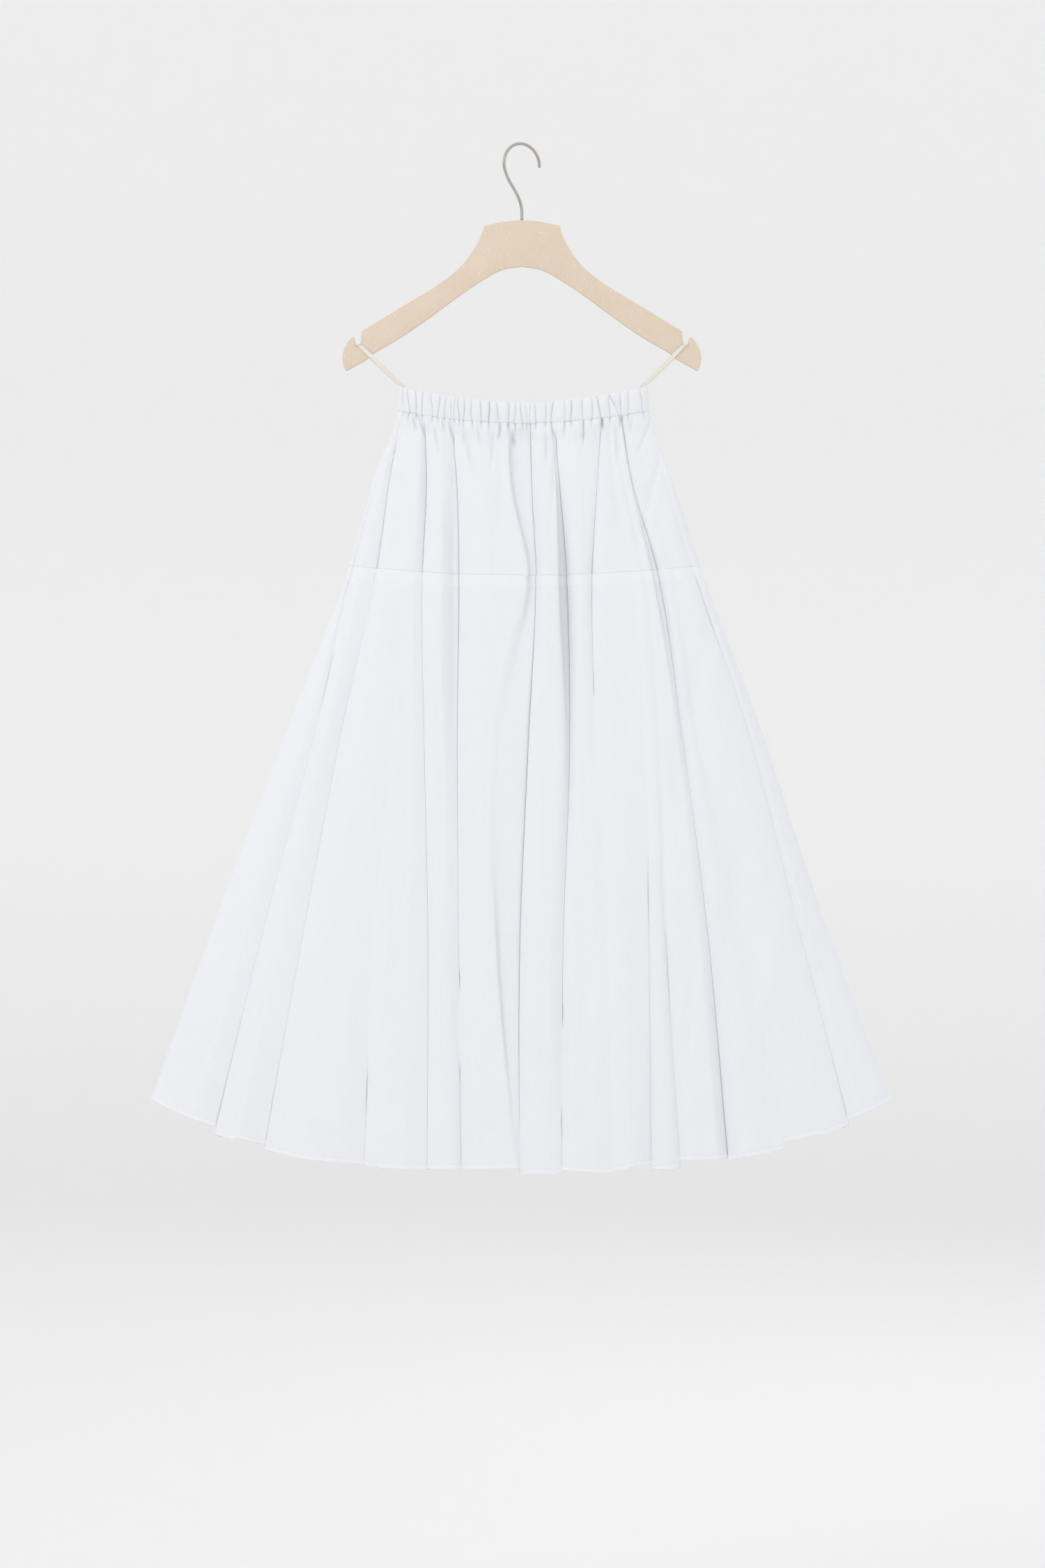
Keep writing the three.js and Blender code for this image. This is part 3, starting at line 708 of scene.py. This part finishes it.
# The grooves between the folds, from left to right as each side is seen, at stitch, hip, seam,
# knee, calf and hem. x: the edge of the fold that lies on top. step: how deep the valley is
# there. over: how far the other fold runs in under that edge, to the right (below 0, to the
# left, under a fold on the left; 0 is a soft valley). gap: how far behind the edge it passes.
# floor: what shows of it before it slopes up, over a reach that is a share of its fold, or
# behind a second edge, as far as lip is 1. As far as slant is 1, it deepens towards the top fold.
none = (0,) * 6
groove_columns = ("x", "step", "over", "gap", "reach", "floor", "lip", "slant")
groove_rows = {
    "front": (
        ((-148, -174, -207, -250, -308, -372), (0, 1, 2.5, 4, 6, 9), (0, 0, 0, 2.2, 5, 9),
         (0, 0, 0, 0.3, 0.5, 0.8), 0.3),
        ((-146, -161, -178, -219, -262, -311), (1, 4, 6, 7, 7, 9), (0, 2.4, 3.5, 5, 6, 9),
         (0.2, 0.2, 0.3, 0.6, 0.6, 0.7), 0.6),
        ((-130, -137, -148, -158, -180, -190), (0, 0, 0, 1, 3, 8), (0, 0, 0, 0, 0, 2.5),
         (0, 0, 0, 0, 0, 0.6), 0.25),
        ((-119, -116, -121, -118, -113, -114), (2, 6, 5, 5, 5, 6), (1, 3.5, 3, 3, 3, 4),
         (0.6, 1.2, 0.8, 0.9, 1.1, 0.9), 0.35, (0, 1, 0, 0, 0, 0)),
        ((-86, -79, -76, -78, -76, -73), (2, 7, 12, 9, 6, 8), (1, 3, 5, 3, 2.4, -5),
         (0.8, 1.2, 1.4, 1, 0.6, 1), 0.35, (0, 3, 6, 2, 0, 0)),
        ((10, 12, 17, 8, -2, -3), (6, 8, 8, 6, 8, 6), (1, 3, 3, 3, 3, 4), (1, 0.8, 0.6, 0.5, 0.4, 0.8),
         0.14, (27, 25, 8, 36, 27, 1), (1, 1, 0.8, -1.5, 0.9, 0.3), (0, 0, 0, 1, 1, 1)),
        ((39, 46, 55, 58, 50, 48), (2, 7, 14, 9, 6, 6), (1, 3, 6, 4, 3, -3),
         (0.5, 1.2, 1.6, 1, 0.9, 0.8), 0.25, (0, 3, 10, 2, 1, 0), (0, 0.6, 1, 0.4, 0, 0)),
        ((97, 92, 85, 90, 101, 109), (4, 4, 7, 1.5, 2, 4), (-2, -3, -4, 0, 0, 0),
         (0.7, 0.4, 1.2, 0, 0, 0), 0.3),
        ((105, 113, 133, 147, 153, 156), (1, 2, 2, 3, 5, 10), (0, 0, 0, 0, 2, 6),
         (0, 0, 0, 0, 0.4, 1.2), 0.5),
        ((112, 124, 149, 166, 174, 191), (0, 1, 1, 1, 4, 7), (0, 0, 0, 0, -1, -4),
         (0, 0, 0, 0, 0.3, 0.6), 0.3),
        ((121, 133, 166, 194, 224, 249), (4, 2.5, 7, 5, 7, 13), (2, 1.6, 4, 3, 3, 3),
         (0.7, 0.2, 0.8, 0.5, 0.9, 1.8), 0.2, (0, 0, 5, 0, 0, 1)),
        ((132, 152, 184, 214, 267, 316), (0, 1, 1, 3, 4, 6), none, none, 0.45),
        ((150, 174, 210, 273, 330, 396), (0, 1, 2, 4, 5, 7), (0, 0, -1, -3, -5, -7),
         (0, 0, 0.2, 0.4, 0.5, 0.7), 0.3),
    ),
    "back": (
        ((-146, -170, -204, -256, -316, -382), (0, 1.5, 2.5, 4.5, 6.5, 9), (0, 1, 3, 5, 8, 10),
         (0, 0.2, 0.4, 0.5, 0.6, 1), 0.35),
        ((-133, -151, -176, -214, -256, -304), (1.5, 3, 5, 6, 7, 10), (1, 3, 5, 7, 9, 11),
         (0.2, 0.5, 0.5, 0.6, 0.8, 1), 0.5),
        ((-116, -124, -138, -163, -192, -226), (2.5, 4.5, 4, 3, 4.5, 7), (-2, -4, -4, -3, -5, -8),
         (0.8, 0.8, 0.6, 0.5, 0.5, 0.8), 0.3),
        ((-92, -98, -107, -118, -136, -160), (1.5, 2, 4, 5, 6.5, 10), (0, 2, 4, 6, 8, 10),
         (0.2, 0.4, 0.5, 0.6, 0.8, 1), 0.35),
        ((-60, -62, -66, -72, -84, -95), (4, 6.5, 7, 4, 3, 6), (-2, -4, -6, -4, -3, -6),
         (1, 2, 2, 0.8, 0.5, 0.8), 0.25, (2, 6, 5, 1, 0, 0)),
        ((-28, -26, -24, -25, -30, -38), (2, 2, 1.5, 2, 4.5, 8), (0, 0, 0, 2, 5, 8),
         (0.2, 0.2, 0.1, 0.2, 0.5, 0.8), 0.4),
        ((8, 12, 18, 24, 26, 22), (4.5, 8, 8.5, 6.5, 6, 9), (-2, -5, -7, -6, -6, -9),
         (1, 2, 2, 1, 0.8, 1), 0.2, (3, 8, 6, 2, 1, 0)),
        ((44, 48, 54, 66, 78, 86), (1.5, 2, 1.5, 1.5, 2.5, 6), (0, 0, 0, 1, 3, 6),
         (0.2, 0.2, 0.1, 0.1, 0.4, 0.8), 0.4),
        ((72, 80, 92, 112, 132, 150), (3, 5, 6.5, 6.5, 7, 10), (-2, -4, -6, -7, -8, -11),
         (1, 1, 1, 0.8, 0.8, 1), 0.3),
        ((98, 108, 128, 152, 182, 214), (0.7, 0.7, 1.5, 2, 4, 6.5), (0, 0, 0, 1, 3, 6),
         (0, 0, 0.1, 0.2, 0.5, 0.8), 0.4),
        ((120, 134, 156, 194, 238, 286), (2.5, 4, 5, 6, 8, 11.5), (-1, -3, -5, -7, -9, -12),
         (0.8, 0.8, 0.8, 0.8, 1, 2), 0.45),
        ((144, 168, 200, 254, 312, 372), (0, 0.7, 2, 4, 6, 8.5), (0, -1, -2, -4, -7, -10),
         (0, 0.1, 0.2, 0.5, 0.6, 1), 0.3),
    ),
}
grooves = {
    half: [{"floor": none, "lip": none, "slant": none} | dict(zip(groove_columns, row)) for row in rows]
    for half, rows in groove_rows.items()}
side_shares = (0, 0.02, 0.07, 0.16, 0.3)
crown_points = 5
soft_spread = np.array((-1, -0.6, -0.3, -0.14, -0.05, 0, 0.05, 0.14, 0.3, 0.6, 1))
pocket_place = 5


def groove_at(groove, z):
    heights = [level_z[name] for name in level_names[1:]]
    here = {key: smooth_at(heights, values, z) if key != "reach" else values
            for key, values in groove.items()}
    opened = min(max((level_z["stitch"] - z) / 15, 0), 1)
    opened = 0.08 + 0.92 * opened * opened * (3 - 2 * opened)
    return here | {"step": max(here["step"], 0) * opened, "gap": max(here["gap"], 0) * opened}


def groove_points(groove, before, after):
    """A groove's x and depth, from left to right, given its reach to the left and right."""
    top = 1 if groove["over"] >= 0 else -1
    under_reach, top_reach = (before, after) if top > 0 else (after, before)
    over = abs(groove["over"])
    step = groove["step"]
    edge = max(step - groove["gap"], 0)
    floor = min(max(groove["floor"], 0), 0.8 * under_reach)
    slope = under_reach - floor
    pocket = step + 2.5 * over * min(max(over - 1, 0), 1)
    crisp = np.array((
        (-under_reach, 0), (-floor - 0.5 * slope, 0.45 * step), (-floor - 0.08 * slope, 0.93 * step),
        (-0.5 * floor, step), (0.5 * over, step + 0.4 * over), (over, pocket),
        (0.7 * over + 0.3, edge + 0.25 * over), (0.1, edge + min(0.35 * groove["gap"], 1.6) + 0.3),
        (0.9, edge + 0.1), (0.4 * top_reach, 0.42 * edge), (top_reach, 0)))
    if top < 0:
        crisp = crisp[::-1] * (-1, 1)
    soft = np.stack([soft_spread * np.where(soft_spread < 0, before, after),
                     step * np.cos(math.pi / 2 * soft_spread) ** 2], 1)
    lip = min(max(groove["lip"], 0), 1)
    crisp[1] += ((-floor - 0.2, 0.1 * step) - crisp[1]) * lip
    crisp[2] += ((-floor - 0.9, 0.88 * step) - crisp[2]) * lip
    crisp[1:4, 1] *= 1 - groove["slant"] * np.array((0.5, 0.5, 0.25))
    share = min(over / 2, 1)
    points = soft * (1 - share) + crisp * share
    return points + (groove["x"], 0)


def fold_section(half, z):
    """The control points of a half's section at a height, in millimetres: x, y."""
    left, right = sides_at(half, z)
    edges = [None, *(groove_at(groove, z) for groove in grooves[half]), None]
    places = [left, *(edge["x"] for edge in edges[1:-1]), right]
    reaches = []
    for i, span in enumerate(np.diff(places)):
        wanted = []
        for edge, side in ((edges[i], 1), (edges[i + 1], -1)):
            if edge is None:
                wanted.append(0.3 * span)
                continue
            top = 1 if edge["over"] >= 0 else -1
            hard = max(9, 0.4 * span) if side == top else edge["reach"] * span + max(edge["floor"], 0)
            share = min(abs(edge["over"]) / 2, 1)
            wanted.append(edge["reach"] * span * (1 - share) + hard * share)
        scale = min(1, 0.86 * span / sum(wanted))
        reaches.append([reach * scale for reach in wanted])
    points = [(left + share * (places[1] - left), 0) for share in side_shares]
    for i, edge in enumerate(edges[:-1]):
        if edge is not None:
            points += list(groove_points(edge, reaches[i - 1][1], reaches[i][0]))
        start = points[-1][0]
        end = places[i + 1] - (reaches[i][1] if edges[i + 1] else 0.3 * (right - places[i]))
        points += [(start + (end - start) * k / (crown_points + 1), 0) for k in range(1, crown_points + 1)]
    points += [(right - share * (right - places[-2]), 0) for share in side_shares[::-1]]
    x, depth = np.array(points, float).T
    crown = crown_at(half, z, x)
    return np.stack([x, -np.maximum(crown - np.minimum(depth, 0.9 * crown), 0)], 1)


def pocket_cuts(half, steps, last):
    """The columns that part a section's folds: its first, each pocket's and its last."""
    first = len(side_shares) + crown_points + pocket_place
    stride = len(soft_spread) + crown_points
    return [0, *(steps * (first + stride * k) for k in range(len(grooves[half]))), last]


# Creases that the cloth keeps from being gathered, worn and folded: x and
# height in millimetres, length and width along and across it, its lean from upright in
# degrees (to the left above 0), and how far it stands out (or in, below 0).
creases = {
    "front": (
        (-131, -351, 24, 1.4, 12, -3.8), (-122, -351, 30, 1.7, 14, -4.3), (-104, -366, 54, 1.5, 6, -2.7),
        (-95, -350, 24, 1.5, 2, -3.4), (-86, -354, 30, 1.5, 10, -3.8), (-64, -380, 92, 2.5, 9, -3.6),
        (-52, -356, 36, 1.7, 8, -3), (-35, -372, 60, 2, -10, -2.7), (-27, -353, 26, 1.5, -14, -3.8),
        (-12, -356, 34, 2.5, 8, -5.1), (30, -372, 62, 1.5, -7, -3), (39, -410, 84, 2.4, -6, -1.9),
        (38, -353, 22, 1.4, 20, -3), (52, -352, 22, 1.7, -4, -2), (75, -357, 34, 1.5, -5, -3.8),
        (98, -349, 22, 2.2, 2, -5.4), (117, -372, 70, 3.4, -3, -3.9), (121, -349, 22, 2.2, -6, -5.1),
        (134, -354, 30, 2, -12, -2), (150, -368, 60, 2, -26, -2), (163, -420, 110, 4, -18, -1.9),
        (-138, -352, 28, 1.9, 10, -2), (-113, -352, 24, 2.4, 4, 1.2), (-74, -352, 26, 2.6, 4, 1.1),
        (-44, -354, 30, 2.6, 2, 1.2), (62, -354, 30, 2.8, 0, 1.1), (86, -356, 34, 2.8, 0, 1.2),
        (-158, -400, 90, 4, 22, 1.6), (-50, -420, 120, 9, 2, 1.7), (-26, -440, 120, 8, -8, -1.5),
        (66, -420, 100, 8, 2, 1.5), (106, -430, 110, 6, -8, 1.3), (148, -470, 120, 6, -16, -1.9),
        (-136, -470, 100, 7, 4, 1.1), (-98, -470, 110, 5, -2, 1.5), (28, -480, 110, 6, 0, 1.5),
        (-168, -560, 180, 10, 10, 1.5), (-146, -640, 190, 10, 4, -1.3), (-100, -640, 190, 8, 0, 1.3),
        (-34, -640, 220, 12, 5, -1.7), (-18, -700, 260, 10, -2, 1.7), (32, -640, 190, 8, 2, 1.5),
        (72, -660, 200, 9, 0, 1.3), (122, -700, 260, 8, -4, -1.5), (146, -650, 220, 9, -5, 1.3),
        (206, -720, 300, 14, -15, -2.1), (232, -660, 240, 10, -22, 1.5), (-232, -760, 260, 9, 14, 1.5),
        (-330, -1060, 260, 16, 21, -1.5), (-148, -980, 260, 12, 4, -1.7), (-166, -1010, 260, 10, 5, 1.5),
        (-96, -960, 260, 9, 0, 1.3), (-40, -960, 260, 12, -6, 1.7), (24, -980, 260, 10, 2, 1.3),
        (78, -1010, 300, 12, -2, -1.5), (118, -960, 240, 12, -4, 1.5), (204, -1060, 260, 9, -9, -1.5),
        (250, -980, 300, 16, -16, -2.1), (300, -1040, 260, 14, -20, 1.5), (352, -1080, 240, 12, -22, -1.3),
        (-240, -1200, 76, 12, 66, 1), (-40, -1200, 60, 12, -70, -0.8), (300, -1190, 80, 14, 40, 1),
        (-300, -1205, 70, 12, -40, -1), (90, -1216, 60, 10, 74, 0.6), (-150, -1206, 76, 10, 80, 0.6),
    ),
    "back": (
        (-140, -353, 28, 1.7, 14, -3.4), (-122, -354, 30, 1.7, 8, -3.8), (-104, -360, 46, 1.7, 6, -2.7),
        (-88, -352, 26, 1.5, 4, -3.4), (-72, -366, 60, 1.9, 4, -2.7), (-52, -352, 26, 1.5, 6, -3.8),
        (-36, -360, 44, 1.7, 2, -2.8), (-14, -352, 28, 1.5, 2, -3.8), (18, -362, 50, 1.9, -4, -2.8),
        (34, -352, 26, 1.5, -4, -3.4), (56, -362, 50, 1.7, -4, -3), (80, -352, 26, 1.5, -8, -3.8),
        (100, -366, 60, 2, -10, -2.7), (118, -352, 26, 1.7, -10, -4.1), (136, -360, 46, 1.9, -18, -2.7),
        (-98, -352, 26, 2.4, 4, 1.2), (-26, -356, 36, 2.6, 2, 1.2), (66, -356, 36, 2.6, -4, 1.2),
        (-150, -460, 100, 8, 18, -1.5), (0, -470, 110, 8, 0, 1.5), (110, -466, 100, 8, -14, -1.3),
        (-44, -440, 110, 7, 2, 1.5), (70, -440, 110, 7, -6, 1.3), (-120, -440, 110, 6, 12, 1.3),
        (-226, -680, 220, 12, 18, 1.7), (-110, -660, 220, 10, 6, -1.5), (-46, -640, 210, 10, 2, 1.5),
        (44, -660, 220, 10, -4, -1.5), (170, -680, 220, 11, -16, 1.7), (-330, -1070, 240, 14, 20, -1.5),
        (-190, -1000, 260, 13, 10, 1.7), (-60, -960, 250, 11, 4, -1.5), (52, -1000, 260, 12, -5, 1.5),
        (180, -1020, 260, 12, -12, -1.5), (330, -1080, 230, 14, -21, 1.5), (-120, -1200, 80, 12, 66, 0.8),
        (110, -1190, 80, 12, -64, 0.8), (260, -700, 240, 12, -20, -1.5), (0, -760, 300, 12, 0, 1.3),
    ),
}


def crease_relief(half, points):
    """How far the creases move each point of a half outwards, in metres."""
    x = (points[..., 0] if half == "front" else -points[..., 0]) / mm
    z = points[..., 2] / mm
    relief = np.zeros(x.shape)
    for cx, cz, length, width, lean, out in creases[half]:
        level = level_at(cz)
        side = level["left"] if cx < 0 else level["right"]
        cz = cz + level["rise"] * abs(cx / side) ** level["curve"]
        lean = math.radians(lean)
        dx, dz = x - cx, z - cz
        along = dx * -math.sin(lean) + dz * math.cos(lean)
        across = dx * math.cos(lean) + dz * math.sin(lean)
        across = across + 0.04 * length * np.sin(along / length * 2.2)
        taper = np.clip(1 - (2 * along / length) ** 2, 0, 1) ** 1.2
        relief += out * taper * np.exp(-(across / width) ** 2)
    return relief * mm


def soft_billow(points, size, seed):
    """The slow, shallow unevenness of hanging cotton."""
    draw = np.random.default_rng(seed)
    relief = np.zeros(points.shape[:2])
    for scale in (0.055, 0.09, 0.15):
        for _ in range(4):
            turn = draw.uniform(-0.5, 0.5)
            phase = draw.uniform(0, 2 * math.pi)
            across = points[..., 0] * math.cos(turn) + points[..., 2] * math.sin(turn) * 0.6
            relief += size * scale / 0.15 * np.sin(across / scale * 2 * math.pi * 0.6 + phase)
    return relief


def yoke_columns(half, z, counts):
    """The section at a height with the same number of columns in each fold on every row."""
    steps = 5
    line = smooth_route(fold_section(half, z), steps)
    cuts = pocket_cuts(half, steps, len(line) - 1)
    columns = []
    for a, b, count in zip(cuts, cuts[1:], counts):
        part = line[a:b + 1]
        gone = np.concatenate([[0], np.cumsum(np.linalg.norm(np.diff(part, axis=0), axis=1))])
        even = np.linspace(0, 1, count + 1)[:-1]
        wanted = gone[-1] * (0.5 * even + 0.25 * (1 - np.cos(math.pi * even)))
        columns.append(np.stack([np.interp(wanted, gone, part[:, k]) for k in range(2)], 1))
    return np.concatenate([*columns, line[-1:]])


def with_relief(half, points, billow, seed, level):
    """Adds creases and unevenness, held back at the sides and where the rows' level is 0."""
    out = np.array((0, -1 if half == "front" else 1, 0))
    edge = np.minimum(np.linspace(0, 1, points.shape[1]) * 30, 1)
    edge = edge * edge[::-1]
    relief = crease_relief(half, points) + soft_billow(points, billow, seed)
    return points + out * (relief * edge * level[:, None])[..., None]


for half in ("front", "back"):
    left, right = sides_at(half, level_z["stitch"])
    widths = np.diff([left, *(groove["x"][0] for groove in grooves[half]), right])
    counts = [max(26, round(width / yoke_column)) for width in widths]
    lines = np.array([foot for _, foot in casing_creases[half]], float)
    stitch_x = yoke_columns(half, level_z["stitch"], counts)[:, 0]
    puff = puff_height(half, stitch_x, lines)
    draw = np.random.default_rng(15)
    number = np.clip(np.searchsorted(lines, stitch_x, side="right") - 1, 0, len(lines) - 2)
    die_out = draw.uniform(7, 24, len(lines))[number]
    side = off_sides(stitch_x, left, right)
    rows = []
    spread = np.linspace(0, 1, yoke_rows) ** 1.5
    spread[-2] = 1 - rim_row / (yoke_top - yoke_foot)
    for share in spread:
        z = yoke_top + (yoke_foot - yoke_top) * share
        drop = max(level_z["stitch"] - z, 0)
        x, y = yoke_columns(half, z, counts).T
        swell = gather_swell * math.exp(-((drop - 10) / 8) ** 2) - 0.35 * math.exp(-drop / 2)
        tuck = tuck_depth * np.exp(-((stitch_x[:, None] - lines) / 1.1) ** 2).max(1)
        tuck = tuck * math.exp(-((drop - 3) / 4.5) ** 2)
        out = (puff * 0.9 * np.exp(-(drop / die_out) ** 1.2) + swell - tuck) * side
        out -= behind_strip * min(max((yoke_foot + 3.6 - z) / 1.4, 0), 1)
        rows.append(at_height(half, z, x, np.minimum(y - out, -0.01)))
    points = np.stack(rows)
    points[:, (0, -1), 1] = 0
    level = np.clip(np.minimum(spread * 120, (0.982 - spread) * 12), 0, 1)
    points = with_relief(half, points, yoke_billow, 3, level)
    yoke = sheet_grid("yoke_panel_" + half, points)
    thin_shell(yoke, cloth * mm)
    dress(yoke, cotton, "cotton", "yoke_" + half)


# ---------------- lower panels
# A flared panel on each side, cut from a wide curve of cloth, so that it falls in deep
# loose folds that lean over each other at the hem.

panel_top = level_z["seam"] - strip_height / 2 + 3
panel_rows = 104
panel_billow = 0.25 * mm
lift_from = -1060
steps_per_column = 2

# How much higher (above 0) or lower each fold's hem hangs than the even curve, at its left
# and its right end, in millimetres.
hem_steps = {
    "front": ((0, 6), (-6, 5), (-4, 3.5), (1, 2.5), (3.5, 4.5), (4, 7), (-1, -1), (4, -2), (0, 7), (0, -2),
              (8.5, 0), (0, -4), (5, -5), (3.5, 0)),
    "back": ((0, 5), (-5, 4), (-3, 3), (0, 5), (3, -1), (4, 2), (-2, 4), (4, 0), (0, 2), (-2, 3), (5, 0),
             (-4, 4), (4, 0)),
}


def panel_section(half, z):
    return smooth_route(fold_section(half, z), steps_per_column)


def hem_lift(half, columns):
    """The hem steps for a half's columns, in metres."""
    pockets = pocket_cuts(half, steps_per_column, columns - 1)
    place, lift = [], []
    for (a, b), (start, end) in zip(zip(pockets, pockets[1:]), hem_steps[half]):
        place += [a + 1, b - 1]
        lift += [start, end]
    return np.interp(np.arange(columns), place, lift) * mm


lower, panels = {}, {}
for half in ("front", "back"):
    rows = []
    heights = np.linspace(panel_top, level_z["hem"], panel_rows)
    for z in heights:
        x, y = panel_section(half, z).T
        rows.append(at_height(half, z, x, np.minimum(y, -0.01)))
    points = np.stack(rows)
    points[:, (0, -1), 1] = 0
    points = with_relief(half, points, panel_billow, 8, np.clip((heights[0] - 14 - heights) / 30, 0, 1))
    near_hem = np.clip((lift_from - heights) / (lift_from - level_z["hem"]), 0, 1) ** 1.5
    points[:, :, 2] += near_hem[:, None] * hem_lift(half, points.shape[1])
    lower[half] = points
    panel = sheet_grid("lower_panel_shell_" + half, points)
    thin_shell(panel, cloth * mm)
    dress(panel, cotton, "cotton", "lower_panel_" + half)
    panels[half] = panel


# ---------------- seam strip
# A folded strip of the same cotton that joins yoke and lower panel, top-stitched along
# both edges. Two layers thick, it shows a little whiter.

strip_proud = 0.15
strip_profile = ((0.03, -0.4), (0, 0.2), (0.05, 0.75), (0.2, 1), (0.5, 1.1), (0.8, 0.95),
                 (0.92, 0.6), (1, 0), (1.03, -0.6), (0.97, -2.5), (0.5, -2.5))


def ring_at(z):
    """One round of the skirt's fold section at a height, with its outward directions."""
    ends = []
    for half in ("front", "back"):
        x, y = panel_section(half, z).T
        y[[0, -1]] = 0
        ends.append(at_height(half, z, x, y)[:-1])
    ring = np.concatenate(ends)
    along = np.roll(ring, -1, 0) - np.roll(ring, 1, 0)
    return ring, unit(np.stack([along[:, 1], -along[:, 0], np.zeros(len(ring))], 1))


strip_top, strip_out = ring_at(level_z["seam"] + strip_height / 2)
strip_foot, strip_foot_out = ring_at(level_z["seam"] - strip_height / 2)
wander = np.cumsum(np.linalg.norm(np.roll(strip_top, -1, 0) - strip_top, axis=1))
pucker = 0.12 * np.sin(wander / 0.0068 + 2 * np.sin(wander / 0.051)) * mm
strip_rows = []
for down, out in strip_profile:
    place = strip_top * (1 - down) + strip_foot * down
    facing = strip_out * (1 - down) + strip_foot_out * down
    lift = out * strip_proud * mm + (pucker * (1 - abs(2 * down - 1)) if out > 0.5 else 0)
    strip_rows.append(place + facing * np.broadcast_to(lift, len(place))[:, None])
strip = sheet_grid("seam_strip", np.stack(strip_rows), wrap_along=True, wrap_round=True)

doubled = Finish("doubled cotton")
strip_slubs = doubled.noise(doubled.place((1, 0.14, 1), "UV"), 420, 3, 0.6)
doubled.set(
    Base_Color=doubled.colours((0.856, 0.868, 0.900), (0.904, 0.914, 0.940), strip_slubs),
    Roughness=0.78 + strip_slubs * 0.14,
    Normal=doubled.raised(strip_slubs, 0.08 * mm, 0.5),
    Sheen_Weight=0.12, Sheen_Roughness=0.6, Specular_IOR_Level=0.28)

dress(strip, doubled, "cotton", "seam_strip_front", "seam_strip_back")
for name, down in (("upper", 0.13), ("lower", 0.87)):
    place = strip_top * (1 - down) + strip_foot * down
    stitch_row("stitches_strip_" + name, place + strip_out * (strip_proud + 0.02) * mm, strip_out)


# ---------------- hem
# The bottom edge is turned up twice to a narrow hem and stitched once.

hem_height = 5.0
hem_profile = ((0, 0.05), (0.06, 0.4), (0.35, 0.55), (0.75, 0.6), (0.97, 0.45), (1.04, 0), (0.97, -0.9),
               (0.5, -1.05), (0.06, -0.9), (0, -0.5))


def round_of(halves, row):
    """One round of both panels' points at a row, with its outward and downward directions."""
    ring, above = (np.concatenate([halves[half][level][:-1] for half in ("front", "back")])
                   for level in (row, row - 3))
    down = unit(ring - above)
    return ring, unit(np.cross(down, np.roll(ring, -1, 0) - np.roll(ring, 1, 0))), down


hem_edge, hem_out, hem_down = round_of(lower, panel_rows - 1)
hem_rows = [hem_edge + hem_down * (down - 1) * hem_height * mm + hem_out * out * mm
            for down, out in hem_profile]
hem = sheet_grid("hem", np.stack(hem_rows), wrap_along=True, wrap_round=True)
dress(hem, doubled, "cotton")
stitch_row("stitches_hem", hem_edge - hem_down * hem_height * 0.86 * mm + hem_out * 0.5 * mm, hem_out)
